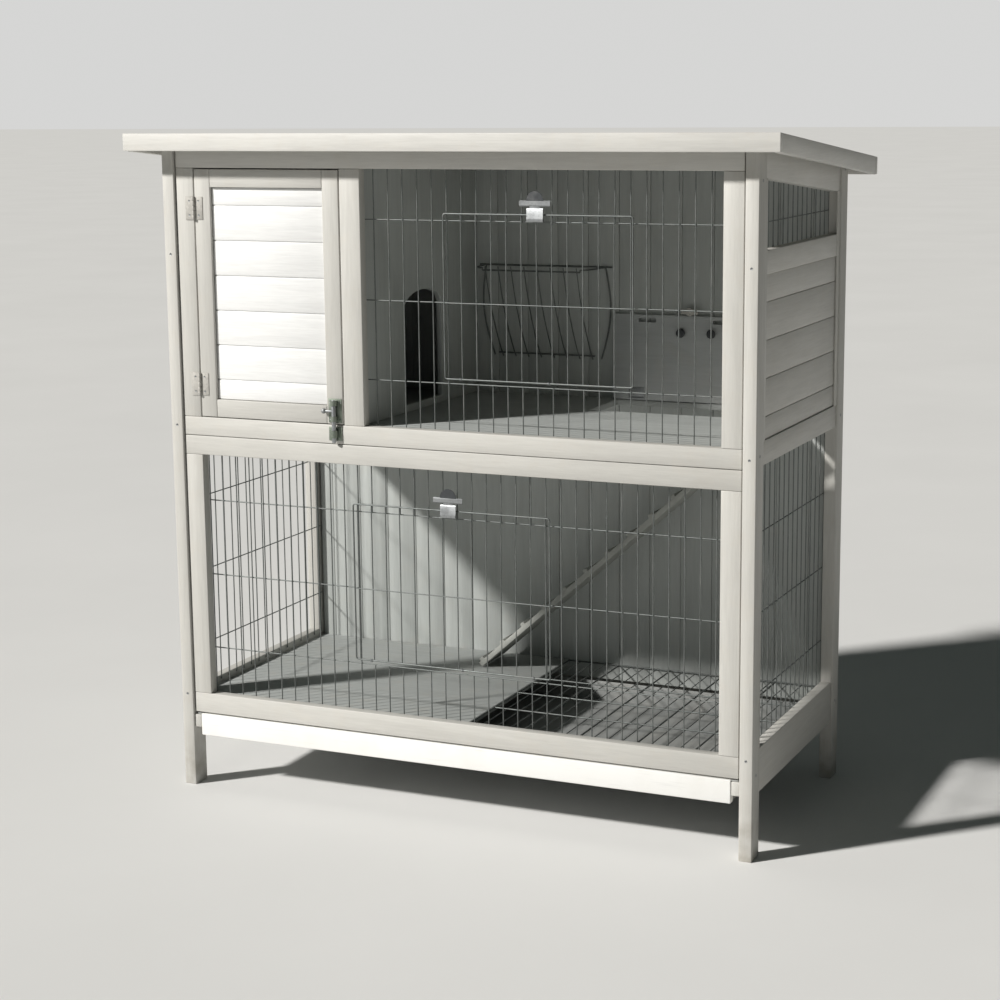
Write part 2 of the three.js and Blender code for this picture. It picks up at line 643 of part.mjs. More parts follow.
function addWireDoor(name, x, z, access) {
  const middleWire = access.v[0] + MESH_PITCH_UP;
  const geometry = meshGeometry(
    spaced(x[0], x[1], MODELLED_PITCH_ACROSS),
    [z[0], middleWire, z[1]],
    { width: DOOR_WIRE_WIDTH, thickness: WIRE_DOOR_Y[1] - WIRE_DOOR_Y[0] },
  );
  standFacingY(addPart(name, geometry, GALVANISED), WIRE_DOOR_Y[1]);
}

// A folded clip with side wings and a rounded grip, sliding up and down on the door's top wires.
function latchOutline(centreX, bottom) {
  const shape = new THREE.Shape();
  const gripRadius = 15;
  shape.moveTo(centreX - 14, bottom);
  shape.lineTo(centreX + 14, bottom);
  shape.lineTo(centreX + 14, bottom + 20);
  shape.lineTo(centreX + 9, bottom + 20);
  shape.lineTo(centreX + 9, bottom + 24);
  shape.lineTo(centreX + 26, bottom + 24);
  shape.lineTo(centreX + 26, bottom + 33);
  shape.absarc(centreX, bottom + 33, gripRadius, 0, Math.PI, false);
  shape.lineTo(centreX - 26, bottom + 33);
  shape.lineTo(centreX - 26, bottom + 24);
  shape.lineTo(centreX - 9, bottom + 24);
  shape.lineTo(centreX - 9, bottom + 20);
  shape.lineTo(centreX - 14, bottom + 20);
  return shape;
}

function buildWireDoors() {
  const latchY = [WIRE_DOOR_Y[0] - FIT_GAP - 5, WIRE_DOOR_Y[0] - FIT_GAP];
  const latchDrop = 11;
  const upper = { x: [-9.7, 304.7], z: [718.3, 975.7] };
  const lower = { x: [-178.7, 166.7], z: [247.8, 507.2] };
  for (const [place, size, access] of [['upper', upper, UPPER_ACCESS], ['lower', lower, LOWER_ACCESS]]) {
    addWireDoor(`${place}_wire_door`, size.x, size.z, access);
    const centreX = (size.x[0] + size.x[1]) / 2;
    addAlongY(`${place}_latch`, FITTING_STEEL, latchOutline(centreX, size.z[1] - latchDrop), latchY);
  }
}

// ---------------------------------------------------------------- tray and runners

function buildTray() {
  const halfWidth = 471;
  const wall = 4;
  const baseZ = [90, 93];
  const rimTop = 124;
  const lipZ = [rimTop + FIT_GAP, rimTop + 2.5];
  const lipReach = 11;
  const frontY = [BODY_FRONT_Y + 2, BODY_FRONT_Y + 16];
  const wallY = [frontY[1] - 1, 224];
  const wallZ = [baseZ[1] + FIT_GAP, lipZ[1]];
  const lipY = [frontY[0] + 3, wallY[1]];
  const rim = joined([
    blockGeometry([-halfWidth, halfWidth], frontY, [89, lipZ[1]]),
    blockGeometry([-halfWidth, -halfWidth + wall], wallY, wallZ),
    blockGeometry([halfWidth - wall, halfWidth], wallY, wallZ),
    blockGeometry([-halfWidth, halfWidth], [wallY[1] - wall, wallY[1]], wallZ),
    blockGeometry([-halfWidth - lipReach, -halfWidth + wall], lipY, lipZ),
    blockGeometry([halfWidth - wall, halfWidth + lipReach], lipY, lipZ),
  ]);
  addPart('tray_rim', toGeometry(rim), WHITE_PAINT);
  addBlock('tray_base', WHITE_PAINT, [-halfWidth, halfWidth], [frontY[1] + FIT_GAP, wallY[1]], baseZ);

  const runnerX = [halfWidth + 0.6, POST_X[0] - FIT_GAP];
  const runnerY = [BODY_FRONT_Y + 3, 226];
  const runnerZ = [102, rimTop];
  addBlock('tray_runner_right', FRAME_PAINT, runnerX, runnerY, runnerZ);
  addBlock('tray_runner_left', FRAME_PAINT, mirrored(runnerX), runnerY, runnerZ);
}

// ---------------------------------------------------------------- hay rack, hatch and ramp

// A wire basket on the back wall: a sloping barred front between two triangular ends.
function buildHayRack() {
  const left = -149;
  const right = 103;
  const wallY = BACK_BOARD_Y[0] - FIT_GAP;
  const bottom = 700;
  const top = 866;
  const reach = 72;
  const bar = 3;
  const barPitch = 27.7;

  const frontRise = top - bottom - 2 * bar;
  const slant = Math.atan2(reach, frontRise);
  const slopeLength = Math.hypot(reach, frontRise);
  const frontX = [left + bar / 2, right - bar / 2];
  const front = meshGeometry(
    spaced(frontX[0], frontX[1], barPitch),
    [bar / 2, slopeLength - 34, slopeLength - bar / 2],
    { width: bar, thickness: bar },
  );
  front.rotateX(Math.PI / 2 + slant);
  front.translate(0, wallY - bar, bottom + bar);

  const endShape = outline([
    [wallY, bottom],
    [wallY, top],
    [wallY - reach - bar * 1.4, top],
    [wallY - bar * 2, bottom],
  ]);
  endShape.holes.push(new THREE.Path([
    new THREE.Vector2(wallY - bar, bottom + 5 * bar),
    new THREE.Vector2(wallY - bar, top - bar),
    new THREE.Vector2(wallY - reach + 3 * bar, top - bar),
  ]));
  const ends = [left, right - bar].map((x) => {
    const geometry = extruded(endShape, bar);
    geometry.applyMatrix4(YZ_OUTLINE_ALONG_X);
    geometry.translate(x, 0, 0);
    return geometry;
  });
  const wallBars = [bottom, top - bar].map(
    (z) => blockGeometry([left + 1, right - 1], [wallY - bar * 2, wallY], [z, z + bar]),
  );
  addPart('hay_rack', toGeometry(joined([front, ...ends, ...wallBars])), GALVANISED);
}

// The lid of the ramp hole, folded up against the back wall, and the turn button above it.
function buildHatch() {
  const hatch = new THREE.Group();
  hatch.position.set(0, HATCH_HINGE_Y, HATCH_HINGE_Z);
  hatch.rotation.x = -HATCH_LEAN;
  hutch.add(hatch);
  addBlock('hatch_lid', INNER_PAINT, HATCH_X, [0, HATCH_THICKNESS], [0, HATCH_HEIGHT], hatch);

  const buttonX = 247;
  const buttonZ = 791;
  const barY = [213, 217];
  const bar = blockGeometry([buttonX - 15, buttonX + 15], barY, [buttonZ - 4.5, buttonZ + 4.5]);
  const pivot = rodGeometry(
    [buttonX, barY[0] + 1, buttonZ],
    [buttonX, BACK_BOARD_Y[0] - FIT_GAP, buttonZ],
    4,
  );
  addPart('hatch_turn_button', toGeometry(joined([bar, pivot])), FITTING_STEEL);
}

// The ramp: a board with cross cleats, its upper end rounded about the hinge line.
function buildRamp() {
  const halfThickness = 4.5;
  const endRadius = 5;
  const cleatPitch = 53;
  const cleatWidth = 9;
  const cleatHeight = 5;
  const endAngle = Math.PI - Math.asin(halfThickness / endRadius);
  const firstCleat = 40;
  const cleatCount = Math.floor((RAMP_LENGTH - firstCleat - cleatWidth) / cleatPitch) + 1;

  const shape = new THREE.Shape();
  shape.moveTo(-RAMP_LENGTH, -halfThickness);
  shape.lineTo(endRadius * Math.cos(endAngle), -halfThickness);
  shape.absarc(0, 0, endRadius, -endAngle, endAngle, false);
  for (let index = 0; index < cleatCount; index += 1) {
    const start = -firstCleat - index * cleatPitch;
    shape.lineTo(start, halfThickness);
    shape.lineTo(start, halfThickness + cleatHeight);
    shape.lineTo(start - cleatWidth, halfThickness + cleatHeight);
    shape.lineTo(start - cleatWidth, halfThickness);
  }
  shape.lineTo(-RAMP_LENGTH, halfThickness);

  const ramp = new THREE.Group();
  ramp.position.set(RAMP_HINGE_X, 0, RAMP_HINGE_Z);
  ramp.rotation.y = -RAMP_SLOPE;
  hutch.add(ramp);
  addAlongY('ramp', RAMP_WOOD, shape, RAMP_Y, ramp);
}

// ---------------------------------------------------------------- assembly

buildPosts();
buildRoof();
buildFrontFrames();
buildSides();
buildBack();
buildFloors();
buildDivider();
buildFixedMesh();
buildNestDoor();
buildNestHardware();
buildWireDoors();
buildTray();
buildHayRack();
buildHatch();
buildRamp();

export default hutch;
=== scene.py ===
"""Two-storey painted rabbit hutch: looks, small fittings and studio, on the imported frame."""

import json
import math

import bmesh
import bpy
from mathutils import Matrix, Vector


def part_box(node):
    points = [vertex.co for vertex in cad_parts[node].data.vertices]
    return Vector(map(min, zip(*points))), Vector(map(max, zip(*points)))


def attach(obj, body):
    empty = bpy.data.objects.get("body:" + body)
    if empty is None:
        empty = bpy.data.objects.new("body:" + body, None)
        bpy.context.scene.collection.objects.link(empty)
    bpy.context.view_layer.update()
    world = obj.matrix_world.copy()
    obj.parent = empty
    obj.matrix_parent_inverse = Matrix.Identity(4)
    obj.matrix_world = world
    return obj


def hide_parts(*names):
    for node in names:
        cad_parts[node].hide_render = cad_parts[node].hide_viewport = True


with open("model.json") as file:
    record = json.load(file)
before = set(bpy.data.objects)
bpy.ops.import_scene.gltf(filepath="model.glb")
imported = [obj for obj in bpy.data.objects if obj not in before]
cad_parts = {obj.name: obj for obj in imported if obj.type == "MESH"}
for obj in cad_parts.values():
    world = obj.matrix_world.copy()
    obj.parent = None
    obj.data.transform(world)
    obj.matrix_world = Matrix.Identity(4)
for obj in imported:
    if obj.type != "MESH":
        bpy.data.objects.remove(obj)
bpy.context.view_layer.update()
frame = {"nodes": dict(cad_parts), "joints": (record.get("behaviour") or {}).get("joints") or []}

MM = 0.001
CELL_ACROSS = 25.4 * MM
CELL_UP = 127 * MM
CARCASS = "carcass"


# ---------------------------------------------------------------- shader helpers


def start_material(name):
    material = bpy.data.materials.new(name)
    material.use_nodes = True
    material.node_tree.nodes.clear()
    return material, material.node_tree


def node(tree, kind, settings=None, **inputs):
    """Adds a shader node; an input given as a socket is linked, and any other value is set."""
    made = tree.nodes.new("ShaderNode" + kind)
    for key, value in (settings or {}).items():
        setattr(made, key, value)
    for key, value in inputs.items():
        socket = made.inputs[key.replace("_", " ")]
        if isinstance(value, bpy.types.NodeSocket):
            tree.links.new(value, socket)
        else:
            socket.default_value = value
    return made


def colour(rgb):
    return (*rgb, 1.0)


def ramp(tree, factor, *stops):
    """A colour ramp through (position, grey level or rgb) stops."""
    made = node(tree, "ValToRGB", Fac=factor)
    elements = made.color_ramp.elements
    while len(elements) < len(stops):
        elements.new(0.5)
    for element, (position, value) in zip(elements, stops):
        element.position = position
        element.color = colour(value if isinstance(value, tuple) else (value,) * 3)
    return made.outputs["Color"]


def noise(tree, coords, scale, stretch=(1, 1, 1), detail=4.0, roughness=0.55, distortion=0.0):
    mapped = node(tree, "Mapping", Vector=coords, Scale=stretch).outputs["Vector"]
    made = node(
        tree, "TexNoise", Vector=mapped, Scale=scale, Detail=detail,
        Roughness=roughness, Distortion=distortion,
    )
    return made.outputs["Fac"]


def mix(tree, factor, first, second, blend="MIX"):
    return node(
        tree, "MixRGB", {"blend_type": blend}, Fac=factor, Color1=first, Color2=second
    ).outputs["Color"]


def math_node(tree, operation, first, second=0.0):
    made = tree.nodes.new("ShaderNodeMath")
    made.operation = operation
    for socket, value in zip(made.inputs, (first, second)):
        if isinstance(value, bpy.types.NodeSocket):
            tree.links.new(value, socket)
        else:
            socket.default_value = value
    return made.outputs[0]


def finish_material(tree, base, roughness, height, distance, metallic=0.0, strength=0.6):
    bump = node(tree, "Bump", Strength=strength, Distance=distance, Height=height)
    shader = node(
        tree, "BsdfPrincipled", Base_Color=base, Roughness=roughness,
        Metallic=metallic, Normal=bump.outputs["Normal"],
    )
    node(tree, "OutputMaterial", Surface=shader.outputs["BSDF"])


def object_coords(tree):
    return node(tree, "TexCoord").outputs["Object"]


# ---------------------------------------------------------------- materials

GRAIN_STRETCH = {"x": (0.06, 1, 1), "y": (1, 0.06, 1), "z": (1, 1, 0.06)}
BARE_WOOD = (0.52, 0.40, 0.25)
SOIL = (0.20, 0.17, 0.12)
SOIL_HEIGHT = 110 * MM
DULL_ZINC = (0.34, 0.34, 0.33)
BITUMEN = (0.055, 0.06, 0.055)
DARK_GRANULE = (0.12, 0.13, 0.12)
PALE_GRANULE = (0.26, 0.27, 0.25)
WORN_FELT = (0.24, 0.24, 0.21)
LITTER_DUST = (0.55, 0.51, 0.44)
FLOOR_DARKEST = (0.73, 0.73, 0.72)
FLOOR_PALEST = (0.76, 0.76, 0.75)


def painted_wood(name, paint, grain, wear=0.35, soiling=0.8, roughness=0.5):
    """Brushed paint over softwood: fibres and growth rings show through, edges are rubbed."""
    material, tree = start_material(name)
    coords = object_coords(tree)
    stretch = GRAIN_STRETCH[grain]
    fibres = noise(tree, coords, 420.0, stretch, detail=6.0, roughness=0.65)
    rings = noise(tree, coords, 60.0, stretch, detail=3.0, distortion=1.2)
    brushing = noise(tree, coords, 150.0, stretch, detail=2.0)
    patches = noise(tree, coords, 5.5, detail=3.0)

    tone = node(tree, "ObjectInfo").outputs["Random"]
    shade = mix(tree, 1.0, colour(paint), ramp(tree, tone, (0, 0.94), (1, 1.0)), "MULTIPLY")
    shade = mix(tree, 1.0, shade, ramp(tree, patches, (0.3, 0.93), (0.7, 1.0)), "MULTIPLY")
    shade = mix(tree, 1.0, shade, ramp(tree, rings, (0.42, 0.955), (0.55, 1.0)), "MULTIPLY")
    shade = mix(tree, 1.0, shade, ramp(tree, fibres, (0.3, 0.93), (0.6, 1.0)), "MULTIPLY")

    edges = node(tree, "NewGeometry").outputs["Pointiness"]
    rubbed = math_node(
        tree, "MULTIPLY",
        ramp(tree, edges, (0.56, 0.0), (0.66, 1.0)),
        ramp(tree, noise(tree, coords, 34.0, detail=5.0), (0.52, 0.0), (0.66, wear)),
    )
    shade = mix(tree, rubbed, shade, colour(BARE_WOOD))

    height = node(tree, "SeparateXYZ", Vector=coords).outputs["Z"]
    low = node(
        tree, "MapRange", Value=height, From_Min=0.0, From_Max=SOIL_HEIGHT, To_Min=1.0, To_Max=0.0
    ).outputs["Result"]
    splashes = ramp(tree, noise(tree, coords, 26.0, detail=6.0), (0.40, 0.0), (0.75, soiling))
    shade = mix(tree, math_node(tree, "MULTIPLY", low, splashes), shade, colour(SOIL))

    sheen = ramp(tree, brushing, (0.3, roughness - 0.08), (0.7, roughness + 0.10))
    relief = math_node(
        tree, "ADD", math_node(tree, "MULTIPLY", rings, 0.8), math_node(tree, "MULTIPLY", fibres, 0.6)
    )
    relief = math_node(tree, "ADD", relief, math_node(tree, "MULTIPLY", brushing, 0.5))
    finish_material(tree, shade, sheen, relief, 0.5 * MM)
    return material


def galvanised(name, base, roughness=0.38, grain_scale=260.0, metallic=0.85):
    """Zinc-coated steel: a faint spangle, dull patches and small pits."""
    material, tree = start_material(name)
    coords = object_coords(tree)
    spangle = node(tree, "TexVoronoi", Vector=coords, Scale=grain_scale).outputs["Color"]
    spangle = node(tree, "RGBToBW", Color=spangle).outputs["Val"]
    patches = noise(tree, coords, 30.0, detail=5.0)
    facets = ramp(tree, spangle, (0.2, 0.84), (0.8, 1.0))
    shade = mix(tree, 1.0, colour(base), facets, "MULTIPLY")
    dulled = ramp(tree, patches, (0.5, 0.0), (0.75, 0.45))
    shade = mix(tree, dulled, shade, colour(DULL_ZINC))
    polish = ramp(tree, patches, (0.3, roughness), (0.7, roughness + 0.25))
    pits = noise(tree, coords, 900.0)
    finish_material(tree, shade, polish, pits, 0.1 * MM, metallic=metallic)
    return material


def mineral_felt(name):
    """Roofing felt: stone granules in bitumen, with a few paler worn patches."""
    material, tree = start_material(name)
    coords = object_coords(tree)
    granules = node(tree, "TexVoronoi", Vector=coords, Scale=620.0)
    speckle = node(tree, "RGBToBW", Color=granules.outputs["Color"]).outputs["Val"]
    patches = noise(tree, coords, 7.0, detail=5.0)
    shade = ramp(tree, speckle, (0.1, BITUMEN), (0.55, DARK_GRANULE), (0.95, PALE_GRANULE))
    worn = ramp(tree, patches, (0.45, 0.0), (0.8, 0.4))
    shade = mix(tree, worn, shade, colour(WORN_FELT))
    finish_material(tree, shade, 0.92, granules.outputs["Distance"], 1.2 * MM)
    return material


def moulded_plastic(name, base):
    """Matte sheet with a fine texture, light scratches and patches of litter dust."""
    material, tree = start_material(name)
    coords = object_coords(tree)
    scratches = noise(tree, coords, 240.0, (0.05, 1, 1), detail=2.0)
    dust = ramp(tree, noise(tree, coords, 14.0, detail=6.0), (0.45, 0.0), (0.8, 0.22))
    shade = mix(tree, dust, colour(base), colour(LITTER_DUST))
    scored = ramp(tree, scratches, (0.25, 0.93), (0.4, 1.0))
    shade = mix(tree, 1.0, shade, scored, "MULTIPLY")
    sheen = ramp(tree, scratches, (0.3, 0.42), (0.7, 0.56))
    texture = noise(tree, coords, 1500.0)
    finish_material(tree, shade, sheen, texture, 0.1 * MM, strength=0.3)
    return material


def studio_floor(name):
    material, tree = start_material(name)
    coords = object_coords(tree)
    cloud = ramp(tree, noise(tree, coords, 1.3), (0.3, FLOOR_DARKEST), (0.7, FLOOR_PALEST))
    finish_material(tree, cloud, 0.9, noise(tree, coords, 300.0), 0.2 * MM, strength=0.2)
    return material


CREAM = (0.585, 0.575, 0.54)
FASCIA_CREAM = (0.70, 0.69, 0.655)
WHITE = (0.90, 0.905, 0.90)
INNER_GREY = (0.50, 0.525, 0.51)
FLOOR_GREY = (0.40, 0.42, 0.41)
LID_GREY = (0.48, 0.50, 0.50)
RAMP_GREY = (0.44, 0.45, 0.42)
UNDER_ROOF_GREY = (0.42, 0.42, 0.39)

FRAME_PAINT = {axis: painted_wood(f"frame_paint_{axis}", CREAM, axis) for axis in "xyz"}
FASCIA_PAINT = {axis: painted_wood(f"fascia_paint_{axis}", FASCIA_CREAM, axis) for axis in "xy"}
WHITE_PAINT = painted_wood("white_paint", WHITE, "x", wear=0.1, soiling=0.0, roughness=0.42)
WALL_PAINT = painted_wood("wall_paint", INNER_GREY, "z", wear=0.3, soiling=0.2, roughness=0.6)
FLOOR_PAINT = painted_wood("floor_paint", FLOOR_GREY, "x", wear=0.5, soiling=0.2, roughness=0.62)
LID_PAINT = painted_wood("lid_paint", LID_GREY, "x", wear=0.4, soiling=0.0, roughness=0.6)
RAMP_PAINT = painted_wood("ramp_paint", RAMP_GREY, "x", wear=1.0, soiling=0.1, roughness=0.66)
ROOF_WOOD = painted_wood("roof_wood", UNDER_ROOF_GREY, "x", wear=0.2, soiling=0.0, roughness=0.7)
WIRE = galvanised("wire_zinc", (0.19, 0.205, 0.20), roughness=0.44)
STEEL = galvanised("fitting_zinc", (0.36, 0.375, 0.385), roughness=0.36, grain_scale=420.0)
AGED_STEEL = galvanised("aged_zinc", (0.25, 0.285, 0.24), roughness=0.40, grain_scale=420.0)
PAINTED_STEEL = galvanised("painted_zinc", (0.50, 0.485, 0.45), roughness=0.5, metallic=0.1)
DARK_STEEL = galvanised("dark_zinc", (0.06, 0.065, 0.07), roughness=0.45, metallic=0.4)
FELT = mineral_felt("mineral_felt")
TRAY_WHITE = moulded_plastic("tray_white", (0.83, 0.83, 0.81))
TRAY_GREY = moulded_plastic("tray_grey", (0.30, 0.31, 0.305))


# ---------------------------------------------------------------- piece helpers


def add_piece(name, data, material, body, replaced=()):
    data.materials.append(material)
    piece = bpy.data.objects.new(name, data)
    bpy.context.scene.collection.objects.link(piece)
    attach(piece, body)
    if replaced:
        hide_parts(*replaced)
    return piece


def mesh_piece(name, bm, material, body, replaced=(), smooth_below=40):
    mesh = bpy.data.meshes.new(name)
    bmesh.ops.recalc_face_normals(bm, faces=bm.faces)
    bm.to_mesh(mesh)
    bm.free()
    mesh.shade_smooth()
    mesh.set_sharp_from_angle(angle=math.radians(smooth_below))
    return add_piece(name, mesh, material, body, replaced)


def wire_piece(name, paths, radius, material, body, replaced=(), closed=False):
    """Round wires through lists of points."""
    curve = bpy.data.curves.new(name, "CURVE")
    curve.dimensions = "3D"
    curve.bevel_depth = radius
    curve.bevel_resolution = 2
    curve.use_fill_caps = True
    for path in paths:
        spline = curve.splines.new("POLY")
        spline.points.add(len(path) - 1)
        for point, place in zip(spline.points, path):
            point.co = (*place, 1.0)
        spline.use_cyclic_u = closed
    return add_piece(name, curve, material, body, replaced)


def add_board(bm, low, high, chamfer=1.0 * MM, segments=2):
    """Adds a block with softened edges to the mesh."""
    low, high = Vector(low), Vector(high)
    matrix = Matrix.Translation((low + high) / 2) @ Matrix.Diagonal((*(high - low), 1.0))
    made = bmesh.ops.create_cube(bm, size=1.0, matrix=matrix)
    edges = list({edge for vert in made["verts"] for edge in vert.link_edges})
    bevelled = bmesh.ops.bevel(
        bm, geom=edges, offset=chamfer, segments=segments, profile=0.5, affect="EDGES"
    )
    return bevelled["verts"]


def add_rod(bm, start, end, radius, sides=16, rounding=0.3):
    """Adds a round bar with eased ends."""
    start, end = Vector(start), Vector(end)
    along = end - start
    turn = along.to_track_quat("Z", "Y").to_matrix().to_4x4()
    matrix = Matrix.Translation((start + end) / 2) @ turn
    made = bmesh.ops.create_cone(
        bm, cap_ends=True, segments=sides, radius1=radius, radius2=radius,
        depth=along.length, matrix=matrix,
    )
    rims = [
        edge for edge in {e for v in made["verts"] for e in v.link_edges}
        if any(len(face.verts) > 4 for face in edge.link_faces)
    ]
    bmesh.ops.bevel(bm, geom=rims, offset=radius * rounding, segments=2, profile=0.5, affect="EDGES")


def add_ball(bm, centre, radius):
    bmesh.ops.create_uvsphere(
        bm, u_segments=20, v_segments=12, radius=radius, matrix=Matrix.Translation(centre)
    )


def join_rings(bm, first, second):
    """Adds the faces between two closed rings of corners."""
    count = len(first)
    for index in range(count):
        following = (index + 1) % count
        bm.faces.new((first[index], first[following], second[following], second[index]))


def add_prism(bm, rings):
    """Adds a closed shape between two flat rings of points."""
    ends = [[bm.verts.new(point) for point in ring] for ring in rings]
    for end in ends:
        bm.faces.new(end)
    join_rings(bm, *ends)


def softened(node_name, material, body, edge=1.1 * MM):
    """The CAD node's shape again, with its sharp edges eased as sanded and painted wood is."""
    bm = bmesh.new()
    bm.from_mesh(frame["nodes"][node_name].data)
    bmesh.ops.remove_doubles(bm, verts=bm.verts, dist=0.01 * MM)
    bmesh.ops.dissolve_limit(bm, angle_limit=math.radians(1), verts=bm.verts, edges=bm.edges)
    sharp = [e for e in bm.edges if len(e.link_faces) == 2 and e.calc_face_angle() > math.radians(25)]
    bmesh.ops.bevel(
        bm, geom=sharp, offset=edge, segments=2, profile=0.5, affect="EDGES", clamp_overlap=True
    )
    return mesh_piece(f"{node_name}_board", bm, material, body, (node_name,))


def cut_away(piece, cutter_bm):
    """Cuts a shape out of a piece for good; the cutter is used up."""
    mesh = bpy.data.meshes.new("cutter")
    bmesh.ops.recalc_face_normals(cutter_bm, faces=cutter_bm.faces)
    cutter_bm.to_mesh(mesh)
    cutter_bm.free()
    cutter = bpy.data.objects.new("cutter", mesh)
    bpy.context.scene.collection.objects.link(cutter)
    modifier = piece.modifiers.new("cut", "BOOLEAN")
    modifier.operation = "DIFFERENCE"
    modifier.solver = "EXACT"
    modifier.object = cutter
    bpy.context.view_layer.update()
    evaluated = piece.evaluated_get(bpy.context.evaluated_depsgraph_get())
    piece.data = bpy.data.meshes.new_from_object(evaluated)
    piece.modifiers.clear()
    bpy.data.objects.remove(cutter)


def steps(low, high, anchor, pitch):
    first = math.ceil((low - anchor) / pitch)
    last = math.floor((high - anchor) / pitch)
    return [anchor + pitch * index for index in range(first, last + 1)]


# ---------------------------------------------------------------- carcass wood


def build_frames():
    for node_name in frame["nodes"]:
        axis = None
        if node_name.startswith("post_") or "stile" in node_name:
            axis = "z"
        elif node_name.endswith("_rail") and node_name.startswith(("upper", "lower", "nest")):
            axis = "x"
        elif node_name.endswith("_rail") or node_name.startswith("tray_runner"):
            axis = "y"
        if axis:
            body = "nest_door" if node_name.startswith("nest_door") else CARCASS
            softened(node_name, FRAME_PAINT[axis], body)


BOARD_PITCH = 57 * MM
BOARD_GAP = 0.3 * MM
NARROWEST_BOARD = 8 * MM
SIDING_JOINT = 850.6 * MM
NEST_BOARD_JOINT = 700.7 * MM
NEST_BOARD_PITCH = 56.7 * MM
TONGUE = 3 * MM
TONGUE_INSET = 2 * MM


def build_boarding(
    node_name, axis, joint, material, body, pitch=BOARD_PITCH, ease=1.5 * MM
):
    """Tongued boards side by side along an axis, counted from one joint, with eased long edges."""
    low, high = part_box(node_name)
    index = "xyz".index(axis)
    joints = steps(low[index] + NARROWEST_BOARD, high[index] - NARROWEST_BOARD, joint, pitch)
    cuts = [low[index], *joints, high[index]]
    bm = bmesh.new()
    for start, end in zip(cuts, cuts[1:]):
        board_low, board_high = low.copy(), high.copy()
        board_low[index], board_high[index] = start + BOARD_GAP / 2, end - BOARD_GAP / 2
        add_board(bm, board_low, board_high, ease)
    inset = Vector((TONGUE_INSET,) * 3)
    tongue_low, tongue_high = low + inset, high - inset
    thin = min(range(3), key=lambda i: high[i] - low[i])
    middle = (low[thin] + high[thin]) / 2
    tongue_low[thin], tongue_high[thin] = middle - TONGUE / 2, middle + TONGUE / 2
    add_board(bm, tongue_low, tongue_high, 0.2 * MM)
    mesh_piece(f"{node_name}_boards", bm, material, body, (node_name,))


def build_walls():
    for node_name in ("right_siding", "left_siding"):
        build_boarding(
            node_name, "z", SIDING_JOINT, FRAME_PAINT["y"], CARCASS
        )
    build_boarding("back_boards", "x", 0.0, WALL_PAINT, CARCASS)
    build_boarding(
        "nest_door_boards", "z", NEST_BOARD_JOINT, WHITE_PAINT, "nest_door",
        pitch=NEST_BOARD_PITCH, ease=2.3 * MM,
    )
    softened("back_frame", FRAME_PAINT["x"], CARCASS)
    softened("divider_wall", WALL_PAINT, CARCASS)
    softened("upper_floor", FLOOR_PAINT, CARCASS)
    softened("lower_floor_board", FLOOR_PAINT, CARCASS)


def build_side_trims():
    """The narrow cover strips beside the posts, over the ends of the siding."""
    _, siding_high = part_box("right_siding")
    rail_low, rail_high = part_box("right_mid_rail")
    right_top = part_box("right_top_rail")[0].z
    left_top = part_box("left_top_rail")[0].z + 1 * MM
    strip = 13 * MM
    inner, outer = siding_high.x + 0.1 * MM, rail_high.x + 1.2 * MM
    bottom = rail_high.z - 0.5 * MM
    for name, side, front_top, rear_top in (
        ("right_cover_strips", 1, right_top + 36 * MM, right_top + 2 * MM),
        ("left_cover_strips", -1, left_top, left_top),
    ):
        x_low, x_high = sorted((side * inner, side * outer))
        bm = bmesh.new()
        for y, top in ((rail_low.y, front_top), (rail_high.y - strip, rear_top)):
            add_board(bm, (x_low, y, bottom), (x_high, y + strip, top))
        mesh_piece(name, bm, FRAME_PAINT["z"], CARCASS)


# ---------------------------------------------------------------- roof


FELT_COLUMNS, FELT_ROWS = 90, 44
FELT_MARGIN = 0.6 * MM
FELT_LIFT = 0.80 * MM
FELT_RIPPLE = 0.10 * MM
FELT_LAP_HEIGHT = 0.35 * MM
FELT_LAP_SHARE = 0.52


def build_roof():
    for node_name, axis in (
        ("roof_front_fascia", "x"), ("roof_rear_fascia", "x"),
        ("roof_left_bargeboard", "y"), ("roof_right_bargeboard", "y"),
    ):
        softened(node_name, FASCIA_PAINT[axis], CARCASS)
    softened("roof_board", ROOF_WOOD, CARCASS, edge=0.5 * MM)

    low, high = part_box("roof_board")
    front_low, front_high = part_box("roof_front_fascia")
    rear_low, rear_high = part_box("roof_rear_fascia")
    slope = (rear_high.z - front_high.z) / (rear_low.y - front_low.y)
    width = high.x - low.x - 2 * FELT_MARGIN
    depth = high.y - low.y - 2 * FELT_MARGIN
    lap_y = low.y + (high.y - low.y) * FELT_LAP_SHARE
    bm = bmesh.new()
    sheet = []
    for row in range(FELT_ROWS + 1):
        y = low.y + FELT_MARGIN + depth * row / FELT_ROWS
        lap = FELT_LAP_HEIGHT if y < lap_y else 0.0
        line = []
        for column in range(FELT_COLUMNS + 1):
            x = low.x + FELT_MARGIN + width * column / FELT_COLUMNS
            ripple = FELT_RIPPLE * (math.sin(x * 23 + y * 9) + math.sin(x * 7 - y * 31))
            z = high.z + slope * (y - low.y) + FELT_LIFT + ripple + lap
            line.append(bm.verts.new((x, y, z)))
        sheet.append(line)
    for row, next_row in zip(sheet, sheet[1:]):
        for column in range(FELT_COLUMNS):
            bm.faces.new((row[column], row[column + 1], next_row[column + 1], next_row[column]))
    felt = mesh_piece("roof_felt_sheet", bm, FELT, CARCASS)
    thickness = felt.modifiers.new("thickness", "SOLIDIFY")
    thickness.thickness = 0.4 * MM
    thickness.offset = -1.0


# ---------------------------------------------------------------- welded mesh


WELD_STEP = 1.6  # from one crossing wire's axis to the other's, in wire radii


def runs(low, high, gap):
    """The stretch from low to high, without the gap if there is one."""
    return [(low, high)] if gap is None else [(low, gap[0]), (gap[1], high)]


